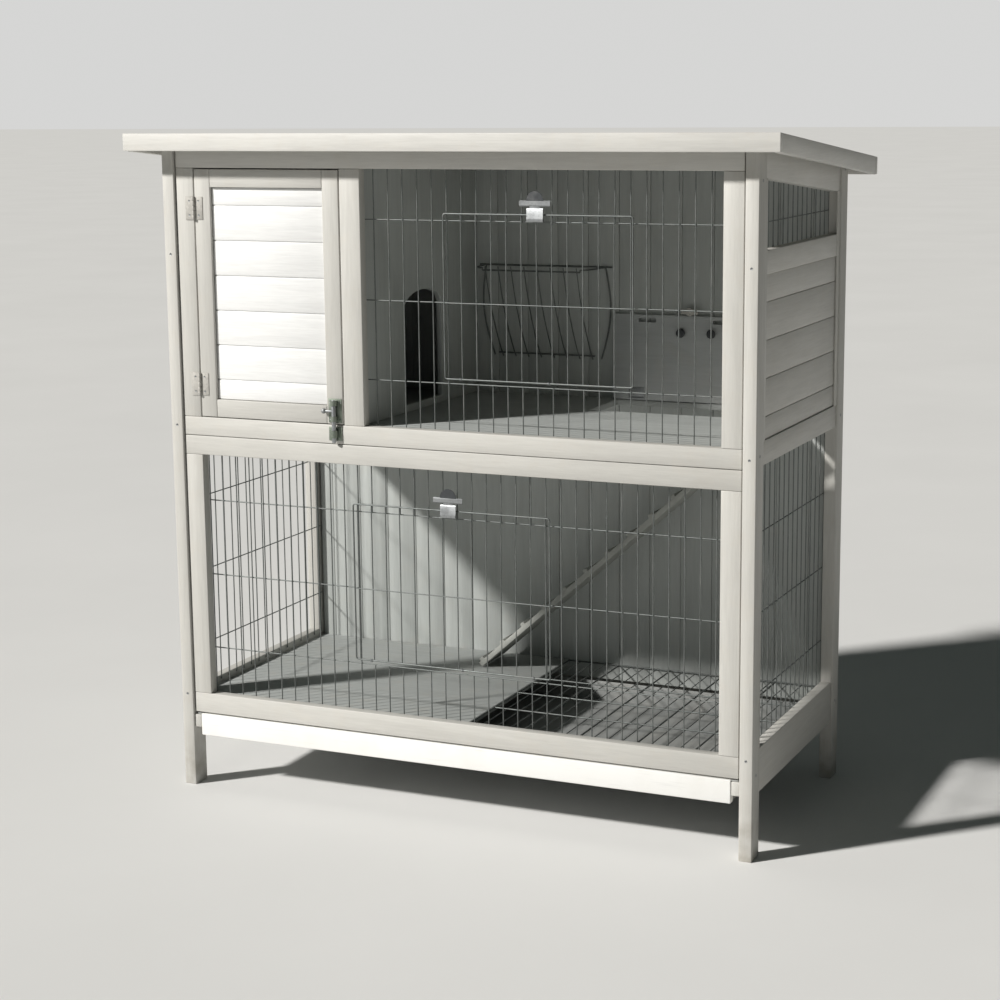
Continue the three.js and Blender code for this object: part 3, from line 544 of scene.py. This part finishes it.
def build_mesh_panel(node_name, anchor, opening=None, radius=1.0 * MM):
    """Upright wires in front and level wires welded behind, cut back round an access opening."""
    low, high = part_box(node_name)
    flat = 0 if high.x - low.x < high.y - low.y else 1
    across = 1 - flat
    outward = -1 if flat == 1 else (1 if low.x > 0 else -1)
    face = low[flat] if outward < 0 else high[flat]
    edge = 1.0 * MM
    u_low, u_high = low[across] + edge, high[across] - edge
    v_low, v_high = low.z + edge, high.z - edge

    def place(u, v, layer):
        depth = face - outward * (radius + layer * radius * WELD_STEP)
        return (depth, u, v) if flat == 0 else (u, depth, v)

    paths = []
    for u in steps(u_low, u_high, anchor[0], CELL_ACROSS):
        inside = opening and opening[0][0] + edge < u < opening[0][1] - edge
        for start, end in runs(v_low, v_high, opening[1] if inside else None):
            paths.append([place(u, start, 0), place(u, end, 0)])
    for v in steps(v_low, v_high, anchor[1], CELL_UP):
        inside = opening and opening[1][0] + edge < v < opening[1][1] - edge
        for start, end in runs(u_low, u_high, opening[0] if inside else None):
            paths.append([place(start, v, 1), place(end, v, 1)])
    wire_piece(f"{node_name}_wires", paths, radius, WIRE, CARCASS, (node_name,))


UPPER_OPENING = ((-4.9 * MM, -4.9 * MM + 12 * CELL_ACROSS), (710.5 * MM, 710.5 * MM + 2 * CELL_UP))
LOWER_OPENING = ((-171 * MM, -171 * MM + 13 * CELL_ACROSS), (240 * MM, 240 * MM + 2 * CELL_UP))


def rounded_loop(u, v, radius, corner_steps=5):
    """Points round a rectangle with rounded corners."""
    corners = ((u[1], v[1], 0), (u[0], v[1], 90), (u[0], v[0], 180), (u[1], v[0], 270))
    points = []
    for corner_u, corner_v, start in corners:
        centre_u = corner_u - math.copysign(radius, corner_u - sum(u) / 2)
        centre_v = corner_v - math.copysign(radius, corner_v - sum(v) / 2)
        for step in range(corner_steps + 1):
            angle = math.radians(start + 90 * step / corner_steps)
            points.append((
                centre_u + radius * math.cos(angle), centre_v + radius * math.sin(angle)
            ))
    return points


def coil(x, y, z, radius=2.1 * MM, length=3.2 * MM, turns=2, parts=12):
    """Points of a small coil wound about a wire that runs in X."""
    count = turns * parts
    points = []
    for step in range(count + 1):
        angle = 2 * math.pi * step / parts
        points.append((
            x + length * step / count, y + radius * math.cos(angle), z + radius * math.sin(angle)
        ))
    return points


def build_wire_door(level, opening):
    """A wire rectangle with its fill wires, and three coils at the hinge wire."""
    node_name, body = f"{level}_wire_door", f"{level}_door"
    low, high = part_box(node_name)
    bar, thin = 1.45 * MM, 0.95 * MM
    middle_y = (low.y + high.y) / 2
    frame_y, wire_y = middle_y - 0.2 * MM, middle_y + 0.1 * MM
    u, v = (low.x + bar, high.x - bar), (low.z + bar, high.z - bar)
    loop = [(at_u, frame_y, at_v) for at_u, at_v in rounded_loop(u, v, 4 * MM)]
    wire_piece(
        f"{level}_door_frame", [loop], bar - 0.1 * MM, WIRE, body, (node_name,), closed=True
    )

    clear = 7 * MM
    paths = [
        [(x, wire_y, v[0]), (x, wire_y, v[1])]
        for x in steps(u[0] + clear, u[1] - clear, opening[0][0], CELL_ACROSS)
    ]
    middle_z = opening[1][0] + CELL_UP
    paths.append([(u[0], wire_y, middle_z), (u[1], wire_y, middle_z)])
    wire_piece(f"{level}_door_wires", paths, thin, WIRE, body)

    coil_places = (u[0] + 26 * MM, (u[0] + u[1]) / 2 + 18 * MM, u[1] - 30 * MM)
    coils = [coil(x, frame_y, v[0]) for x in coil_places]
    wire_piece(f"{level}_door_hinge_coils", coils, 0.55 * MM, STEEL, body)


def add_folded_sheet(bm, profile, x_low, x_high, thickness):
    """A sheet bent along (y, z) points, running in X, as one closed strip."""
    points = [Vector((0, *p)) for p in profile]
    normals = []
    for index in range(len(points)):
        before = points[max(index - 1, 0)]
        after = points[min(index + 1, len(points) - 1)]
        along = (after - before).normalized()
        normals.append(Vector((0, -along.z, along.y)))
    ring = [p + n * thickness / 2 for p, n in zip(points, normals)]
    ring += [p - n * thickness / 2 for p, n in reversed(list(zip(points, normals)))]
    ends = [[bm.verts.new((x, p.y, p.z)) for p in ring] for x in (x_low, x_high)]
    join_rings(bm, *ends)
    count = len(ring)
    for end in ends:
        for index in range(len(points) - 1):
            bm.faces.new((end[index], end[index + 1], end[count - 2 - index], end[count - 1 - index]))


def build_latch(level):
    """A sprung sheet clip: hooked lower lip, flat face, two wings and a rounded thumb tab."""
    node_name, body = f"{level}_latch", f"{level}_door_latch"
    low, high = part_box(node_name)
    centre = (low.x + high.x) / 2
    front, back = low.y + 0.3 * MM, high.y - 0.4 * MM
    half_clip, half_wing, half_neck = 13.5 * MM, 25.5 * MM, 8.5 * MM
    sheet = 0.9 * MM

    def section(origin_y, *points):
        """Turns (depth, height) in millimetres into (y, z)."""
        return [(origin_y + depth * MM, low.z + height * MM) for depth, height in points]

    lip = section(back, (0, 5), (0, 2.2), (-1.2, 0.8))
    face = section(front, (1.2, 0.8), (0.3, 2.4), (0.3, 6), (1.3, 9), (1.3, 19), (2.4, 21))
    bm = bmesh.new()
    add_folded_sheet(bm, lip + face, centre - half_clip, centre + half_clip, sheet)
    mesh_piece(f"{level}_latch_clip", bm, STEEL, body, (node_name,))

    wing = section(front, (2.2, 24.2), (0.8, 25.6), (0.8, 31), (2.4, 32.6))
    neck_low, neck_high = section(front, (1.8, 12), (2.9, 31))
    bm = bmesh.new()
    add_folded_sheet(bm, wing, centre - half_wing, centre + half_wing, sheet)
    add_board(bm, (centre - half_neck, *neck_low), (centre + half_neck, *neck_high), 0.3 * MM)
    mesh_piece(f"{level}_latch_wings", bm, STEEL, body)

    radius = 14.0 * MM
    foot, tab_centre = low.z + 30.5 * MM, low.z + 33 * MM
    outline = [(centre - radius, foot)]
    for degrees in range(180, -1, -12):
        angle = math.radians(degrees)
        outline.append((centre + radius * math.cos(angle), tab_centre + radius * math.sin(angle)))
    outline.append((centre + radius, foot))
    bm = bmesh.new()
    layers = (front + 1.4 * MM, front + 2.6 * MM)
    add_prism(bm, [[(x, y, z) for x, z in outline] for y in layers])
    mesh_piece(f"{level}_latch_tab", bm, DARK_STEEL, body)


def build_wire():
    build_mesh_panel("upper_front_mesh", (UPPER_OPENING[0][0], UPPER_OPENING[1][0]), UPPER_OPENING)
    build_mesh_panel("lower_front_mesh", (LOWER_OPENING[0][0], LOWER_OPENING[1][0]), LOWER_OPENING)
    side_anchor = (-186 * MM, LOWER_OPENING[1][0])
    for node_name in ("right_side_mesh", "left_side_mesh"):
        build_mesh_panel(node_name, side_anchor)
    build_mesh_panel("right_window_mesh", (side_anchor[0], UPPER_OPENING[1][1]))
    for level, opening in (("upper", UPPER_OPENING), ("lower", LOWER_OPENING)):
        build_wire_door(level, opening)
        build_latch(level)


GRID_BAR_PITCH = 96 * MM
GRID_WIRE_PITCH = 24 * MM


def build_floor_grid():
    """Heavy bars in both directions and fine wires between, across the open half of the floor."""
    low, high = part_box("lower_floor_grid")
    bar, thin = 1.35 * MM, 0.8 * MM
    bar_z = high.z - bar
    wire_z = bar_z - 0.2 * MM
    x_bars = [low.x + bar + GRID_BAR_PITCH * index for index in range(5)] + [high.x - bar]
    inner_y = steps(low.y + 40 * MM, high.y - 40 * MM, 0.0, GRID_BAR_PITCH)
    y_bars = [low.y + bar, *inner_y, high.y - bar]
    paths = [[(x, low.y, bar_z), (x, high.y, bar_z)] for x in x_bars]
    paths += [[(low.x, y, bar_z), (high.x, y, bar_z)] for y in y_bars]
    wire_piece("floor_grid_bars", paths, bar, WIRE, CARCASS, ("lower_floor_grid",))
    x_wires = steps(low.x + 6 * MM, high.x - 6 * MM, low.x, GRID_WIRE_PITCH)
    wires = [[(x, low.y, wire_z), (x, high.y, wire_z)] for x in x_wires]
    wire_piece("floor_grid_wires", wires, thin, WIRE, CARCASS)


# ---------------------------------------------------------------- hay rack


def build_hay_rack():
    """Bowed uprights between two rails, with a bulging hoop at each end back to the wall."""
    low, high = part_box("hay_rack")
    radius = 1.5 * MM
    wall, reach = high.y - radius, low.y + radius
    bottom, top = low.z + radius, high.z - radius
    hoop_top, hoop_bottom = top - 3 * MM, bottom + 1 * MM
    middle = (low.x + high.x) / 2 + 4 * MM
    half, rail_half = 85 * MM, 91 * MM
    upright_count, upright_parts = 8, 14
    rail_shares = (0.04, 0.96)

    def front(share):
        """(y, z) on the bowed front, from the wall at the bottom to the reach at the top."""
        bulge = math.sin(share * math.pi) * 5.4 * MM
        y = wall + (reach - wall) * share ** 0.85 - bulge
        return max(y, reach), bottom + (top - bottom) * share

    shares = [index / upright_parts for index in range(upright_parts + 1)]
    uprights = []
    for index in range(upright_count):
        x = middle - half + 2 * half * index / (upright_count - 1)
        uprights.append([(x, *front(share)) for share in shares])
    rails = [
        [(middle - rail_half, *front(share)), (middle + rail_half, *front(share))]
        for share in rail_shares
    ]

    front_y, front_z = front(rail_shares[1])
    hoops = []
    for side, x_end in ((-1, low.x + radius), (1, high.x - radius)):
        x_inner = middle + side * rail_half
        x_top, x_bottom = x_end - side * 12 * MM, x_inner + side * 10 * MM
        hoop = [(x_inner, front_y, front_z)]
        for step in range(13):
            angle = math.radians(90 * step / 12)
            x = x_inner + (x_top - x_inner) * math.sin(angle)
            y = front_y + (wall - front_y) * (1 - math.cos(angle))
            hoop.append((x, y, hoop_top))
        for step in range(1, 17):
            share = step / 16
            bulge = side * 13 * MM * math.sin(share * math.pi)
            x = x_top + (x_bottom - x_top) * share + bulge
            hoop.append((x, wall, hoop_top + (hoop_bottom - hoop_top) * share))
        hoops.append(hoop)
    back_rail = [(low.x + radius, wall, hoop_top), (high.x - radius, wall, hoop_top)]
    wire_piece("hay_rack_uprights", uprights, 1.2 * MM, WIRE, CARCASS, ("hay_rack",))
    wire_piece("hay_rack_rails", [*rails, *hoops, back_rail], radius, WIRE, CARCASS)


# ---------------------------------------------------------------- tray


def build_tray():
    """The white front board, and behind it the grey pan with the lips that ride on the runners."""
    low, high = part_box("tray_rim")
    runner_low, runner_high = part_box("tray_runner_right")
    half_width = runner_low.x - 0.6 * MM
    front_back = low.y + 14 * MM
    bm = bmesh.new()
    add_board(bm, (-half_width, low.y, low.z), (half_width, front_back, high.z), 1.6 * MM, 3)
    mesh_piece(
        "tray_front", bm, TRAY_WHITE, "tray_drawer", ("tray_rim", "tray_base")
    )

    wall, ease, lip_ease = 3.2 * MM, 0.8 * MM, 0.7 * MM
    pan_front, pan_back = front_back - 0.5 * MM, high.y
    pan_bottom, floor_top = low.z + 1 * MM, low.z + 4 * MM
    lip_front, lip_bottom = low.y + 4 * MM, runner_high.z + 0.3 * MM
    bm = bmesh.new()
    add_board(bm, (-half_width, pan_front, pan_bottom), (half_width, pan_back, floor_top), ease)
    for side in (-1, 1):
        x = sorted((side * half_width, side * (half_width - wall)))
        add_board(bm, (x[0], pan_front, pan_bottom), (x[1], pan_back, high.z), ease)
        lip = sorted((side * (half_width - wall), side * high.x))
        add_board(bm, (lip[0], lip_front, lip_bottom), (lip[1], pan_back, high.z), lip_ease)
    add_board(bm, (-half_width, pan_back - wall, pan_bottom), (half_width, pan_back, high.z), ease)
    mesh_piece("tray_pan", bm, TRAY_GREY, "tray_drawer")


# ---------------------------------------------------------------- ramp and hatch


def build_ramp():
    """The ramp board and its cross cleats, with every edge eased."""
    softened("ramp", RAMP_PAINT, "ramp_board", edge=0.9 * MM)


HATCH_LEAN = math.radians(2.2)
SLOT_X = (153 * MM, 287 * MM)
SLOT_WIDTH = 33 * MM
KNOB_X = (232 * MM, 286 * MM)
KNOB_HEIGHT = 118 * MM


def build_hatch():
    """The lid of the ramp hole: finger slots cut through it, two knobs and two hinges."""
    low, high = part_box("hatch_lid")
    on_lid = Matrix.Translation((0, low.y, low.z)) @ Matrix.Rotation(-HATCH_LEAN, 4, "X")
    lid = softened("hatch_lid", LID_PAINT, "hatch")

    bm = bmesh.new()
    for x in SLOT_X:
        slot_low, slot_high = (x, -2 * MM, 134 * MM), (x + SLOT_WIDTH, 12 * MM, 141 * MM)
        slot = add_board(bm, slot_low, slot_high, 2.4 * MM, 3)
        bmesh.ops.transform(bm, matrix=on_lid, verts=slot)
    cut_away(lid, bm)

    bm = bmesh.new()
    for x in KNOB_X:
        stem = [on_lid @ Vector((x, y, KNOB_HEIGHT)) for y in (0.5 * MM, -5 * MM)]
        add_rod(bm, stem[0], stem[1], 3.5 * MM)
        head = [on_lid @ Vector((x, y, KNOB_HEIGHT)) for y in (-4.5 * MM, -9 * MM)]
        add_rod(bm, head[0], head[1], 8 * MM, rounding=0.28)
    mesh_piece("hatch_knobs", bm, DARK_STEEL, "hatch")

    half_leaf, leaf_foot, knuckle = 14 * MM, 3.6 * MM, 1.6 * MM
    bm = bmesh.new()
    for middle in (low.x + 45 * MM, high.x - 45 * MM):
        ends = (middle - half_leaf, middle + half_leaf)
        leaf = add_board(
            bm, (ends[0], -0.8 * MM, leaf_foot), (ends[1], 0.05 * MM, 22 * MM), 0.3 * MM
        )
        bmesh.ops.transform(bm, matrix=on_lid, verts=leaf)
        barrel = [on_lid @ Vector((x, -knuckle, leaf_foot)) for x in ends]
        add_rod(bm, barrel[0], barrel[1], knuckle)
    mesh_piece("hatch_hinges", bm, STEEL, "hatch")


def build_turn_button():
    """A short bar with a round boss, turning on a pivot in the back wall."""
    low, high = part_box("hatch_turn_button")
    x, z = (low.x + high.x) / 2, (low.z + high.z) / 2
    bm = bmesh.new()
    add_board(bm, (low.x, low.y, low.z), (high.x, low.y + 4 * MM, high.z), 1.2 * MM, 3)
    add_rod(bm, (x, low.y + 3.8 * MM, z), (x, high.y, z), 3.8 * MM)
    add_rod(bm, (x, low.y - 1.5 * MM, z), (x, low.y + 3 * MM, z), 7.5 * MM)
    mesh_piece(
        "turn_button_bar", bm, PAINTED_STEEL, "turn_button", ("hatch_turn_button",)
    )


# ---------------------------------------------------------------- nest-door hardware


PLATE_THICKNESS = 1.1 * MM
BOLT_STEM_Z = 660 * MM


def add_knuckles(bm, axis, low_z, height, indices, radius):
    """Adds some of the five knuckles of a hinge barrel, with a fine gap between neighbours."""
    gap = 0.1 * MM
    for index in indices:
        start = low_z + height * index
        add_rod(
            bm, (axis.x, axis.y, start + gap), (axis.x, axis.y, start + height - gap), radius
        )


def build_nest_hinges():
    """Butt hinges painted over with the door: one leaf and three knuckles fixed, the rest moving."""
    joint = next(joint for joint in frame["joints"] if joint["name"] == "nest_door_hinge")
    axis = Vector(joint["pos_m"])
    leaf_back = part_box("nest_door_left_stile")[0].y - 0.1 * MM
    cap = 1.2 * MM
    ease = 0.3 * MM
    for place in ("upper", "lower"):
        node_name = f"nest_hinge_{place}"
        low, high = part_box(node_name)
        knuckle = (high.z - low.z) / 5
        bm = bmesh.new()
        add_board(
            bm, (low.x, high.y - PLATE_THICKNESS, low.z), (axis.x, high.y, high.z), ease
        )
        add_knuckles(bm, axis, low.z, knuckle, (0, 2, 4), 2.4 * MM)
        for start in (low.z, high.z - cap):
            add_rod(bm, (axis.x, axis.y, start), (axis.x, axis.y, start + cap), 2.5 * MM)
        mesh_piece(f"{node_name}_fixed", bm, PAINTED_STEEL, CARCASS, (node_name,))

        leaf_low = (axis.x + 0.3 * MM, leaf_back - 1.0 * MM, low.z + 0.5 * MM)
        leaf_high = (axis.x + 16 * MM, leaf_back, high.z - 0.5 * MM)
        bm = bmesh.new()
        add_board(bm, leaf_low, leaf_high, ease)
        add_knuckles(bm, axis, low.z, knuckle, (1, 3), 2.35 * MM)
        mesh_piece(f"{node_name}_leaf", bm, PAINTED_STEEL, "nest_door")


def add_saddle(bm, centre, radius, half_width, z_low, z_high, back, thickness=0.9 * MM):
    """A strap bent over a bolt, with a foot on each side."""
    outer = radius + thickness
    foot = back - thickness
    arc = [math.pi * index / 12 for index in range(13)]
    outline = [(-half_width, back), (-half_width, foot), (-outer, foot)]
    outline += [(-outer * math.cos(angle), -outer * math.sin(angle)) for angle in arc]
    outline += [(outer, foot), (half_width, foot), (half_width, back), (radius, back)]
    outline += [(radius * math.cos(angle), -radius * math.sin(angle)) for angle in arc]
    outline += [(-radius, back)]
    add_prism(bm, [
        [(centre.x + u, centre.y + v, z) for u, v in outline] for z in (z_low, z_high)
    ])


def build_nest_bolt():
    """The plate with its two saddles, the bolt with stem and knob, and the keeper below."""
    low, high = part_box("nest_bolt")
    plate_low, plate_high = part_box("nest_bolt_plate")
    keeper_low, keeper_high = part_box("nest_bolt_keeper")
    centre = Vector((high.x - 4 * MM, plate_high.y - 6.2 * MM, 0))
    strap_back = plate_high.y - centre.y - 1.0 * MM
    plate_front = plate_high.y - PLATE_THICKNESS
    ease = 0.4 * MM
    strap = 8.5 * MM

    bm = bmesh.new()
    add_board(bm, (plate_low.x, plate_front, plate_low.z), plate_high, ease)
    for start in (plate_low.z + 2.5 * MM, plate_high.z - 11 * MM):
        add_saddle(bm, centre, 4.1 * MM, 8.5 * MM, start, start + strap, strap_back)
    mesh_piece(
        "nest_bolt_plate_formed", bm, AGED_STEEL, "nest_door", ("nest_bolt_plate",)
    )

    knob = Vector((low.x + 4.5 * MM, centre.y, BOLT_STEM_Z))
    bm = bmesh.new()
    add_rod(bm, (centre.x, centre.y, low.z), (centre.x, centre.y, high.z), 3.6 * MM)
    add_rod(bm, (centre.x, centre.y, knob.z), knob, 2.0 * MM)
    add_ball(bm, knob, 4.4 * MM)
    mesh_piece("nest_bolt_rod_formed", bm, STEEL, "nest_bolt_rod", ("nest_bolt",))

    keeper_corner = (keeper_high.x, plate_high.y, keeper_high.z)
    bm = bmesh.new()
    add_board(bm, (keeper_low.x, plate_front, keeper_low.z), keeper_corner, ease)
    add_saddle(
        bm, centre, 4.3 * MM, 9 * MM, keeper_low.z + 5 * MM, keeper_high.z - 5 * MM, strap_back
    )
    mesh_piece(
        "nest_bolt_keeper_formed", bm, AGED_STEEL, CARCASS, ("nest_bolt_keeper",)
    )


# ---------------------------------------------------------------- screws


POST_FRONT_SCREWS_Z = (622 * MM, 904 * MM, 160 * MM)
POST_SIDE_SCREWS_Z = (134 * MM, 626 * MM, 1030 * MM)
HINGE_SCREWS_Z = (968 * MM, 991 * MM, 680 * MM, 704 * MM)
BOLT_SCREWS_Z = (647 * MM, 674 * MM)


def add_screw(bm, place, facing, radius):
    """A countersunk head set just proud of the paint, with a sunk middle."""
    place, facing = Vector(place), Vector(facing)
    turn = facing.to_track_quat("Z", "Y").to_matrix().to_4x4()
    matrix = Matrix.Translation(place + facing * 0.05 * MM) @ turn
    made = bmesh.ops.create_cone(
        bm, cap_ends=True, segments=16, radius1=radius, radius2=radius * 0.82,
        depth=0.6 * MM, matrix=matrix,
    )
    top = max(
        {f for v in made["verts"] for f in v.link_faces if len(f.verts) > 4},
        key=lambda f: (f.calc_center_median() - place).dot(facing),
    )
    bmesh.ops.inset_individual(bm, faces=[top], thickness=radius * 0.42)
    bmesh.ops.translate(bm, verts=top.verts, vec=facing * -0.35 * MM)


def build_screws():
    post_low, post_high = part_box("post_front_right")
    rear_low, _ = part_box("post_rear_right")
    plate_low, plate_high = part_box("nest_bolt_plate")
    door_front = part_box("nest_door_left_stile")[0].y
    front = (0, -1, 0)

    bm = bmesh.new()
    for side in (-1, 1):
        x = side * (post_low.x + post_high.x) / 2
        for z in POST_FRONT_SCREWS_Z:
            add_screw(bm, (x, post_low.y, z), front, 2.4 * MM)
        for z in POST_SIDE_SCREWS_Z:
            for post_y in (post_low.y, rear_low.y):
                add_screw(bm, (side * post_high.x, post_y + 18 * MM, z), (side, 0, 0), 2.8 * MM)
    mesh_piece("carcass_screws", bm, STEEL, CARCASS)

    bm = bmesh.new()
    for z in HINGE_SCREWS_Z:
        add_screw(bm, (-441 * MM, door_front - PLATE_THICKNESS, z), front, 1.9 * MM)
    for z in BOLT_SCREWS_Z:
        for x in (plate_low.x + 2.6 * MM, plate_high.x - 2.6 * MM):
            add_screw(bm, (x, plate_high.y - PLATE_THICKNESS, z), front, 1.5 * MM)
    mesh_piece("nest_door_screws", bm, STEEL, "nest_door")

    bm = bmesh.new()
    for z in HINGE_SCREWS_Z:
        add_screw(bm, (-458 * MM, plate_high.y - PLATE_THICKNESS, z), front, 1.9 * MM)
    mesh_piece("hinge_screws", bm, STEEL, CARCASS)


# ---------------------------------------------------------------- studio


SUN_TRAVEL = Vector((0.60, 0.60, -0.56))
FILL_PLACE = Vector((1.4, -4.8, 1.2))
FILL_TARGET = Vector((0, 0, 0.6))
CAMERA_PLACE = (1.4465, -3.2129, 1.1610)
CAMERA_YAW = math.radians(24.4)
CAMERA_PITCH = math.radians(-10.8)
CAMERA_ROLL = math.radians(-0.6)


def add_to_scene(name, data):
    holder = bpy.data.objects.new(name, data)
    bpy.context.scene.collection.objects.link(holder)
    return holder


def build_studio():
    floor_mesh = bpy.data.meshes.new("studio_floor")
    bm = bmesh.new()
    bmesh.ops.create_grid(bm, x_segments=2, y_segments=2, size=60.0)
    bm.to_mesh(floor_mesh)
    bm.free()
    floor_mesh.materials.append(studio_floor("floor_pale"))
    add_to_scene("studio_floor", floor_mesh)

    world = bpy.data.worlds.new("studio_world")
    world.use_nodes = True
    tree = world.node_tree
    tree.nodes.clear()
    light = node(tree, "Background", Color=(0.86, 1.0, 0.95, 1.0), Strength=0.05)
    seen = node(tree, "Background", Color=(0.93, 0.93, 0.92, 1.0), Strength=0.72)
    from_camera = node(tree, "LightPath").outputs["Is Camera Ray"]
    blend = node(tree, "MixShader", Fac=from_camera)
    tree.links.new(light.outputs["Background"], blend.inputs[1])
    tree.links.new(seen.outputs["Background"], blend.inputs[2])
    node(tree, "OutputWorld", Surface=blend.outputs["Shader"])
    bpy.context.scene.world = world
    bpy.context.scene.view_settings.view_transform = "Standard"

    sun = bpy.data.lights.new("key", "SUN")
    sun.energy = 4.75
    sun.angle = math.radians(4.0)
    sun.color = (1.0, 0.975, 0.94)
    key = add_to_scene("key", sun)
    key.rotation_euler = SUN_TRAVEL.to_track_quat("-Z", "Y").to_euler()

    lamp = bpy.data.lights.new("fill", "AREA")
    lamp.size = 3.0
    lamp.energy = 1.2
    lamp.color = (0.93, 0.96, 1.0)
    fill = add_to_scene("fill", lamp)
    fill.location = FILL_PLACE
    fill.rotation_euler = (FILL_TARGET - FILL_PLACE).to_track_quat("-Z", "Y").to_euler()


def build_camera():
    yaw, pitch, roll = CAMERA_YAW, CAMERA_PITCH, CAMERA_ROLL
    forward = Vector((
        -math.sin(yaw) * math.cos(pitch), math.cos(yaw) * math.cos(pitch), math.sin(pitch)
    ))
    right = Vector((math.cos(yaw), math.sin(yaw), 0))
    up = right.cross(forward)
    rolled_right = right * math.cos(roll) + up * math.sin(roll)
    rolled_up = up * math.cos(roll) - right * math.sin(roll)
    camera = bpy.data.cameras.new("camera")
    camera.sensor_width = 36.0
    camera.lens = 77.2
    holder = add_to_scene("camera", camera)
    turn = Matrix((rolled_right, rolled_up, -forward)).transposed().to_4x4()
    holder.matrix_world = Matrix.Translation(CAMERA_PLACE) @ turn
    bpy.context.scene.camera = holder


# ---------------------------------------------------------------- assembly

build_frames()
build_walls()
build_side_trims()
build_roof()
build_wire()
build_floor_grid()
build_hay_rack()
build_tray()
build_ramp()
build_hatch()
build_turn_button()
build_nest_hinges()
build_nest_bolt()
build_screws()
build_studio()
build_camera()
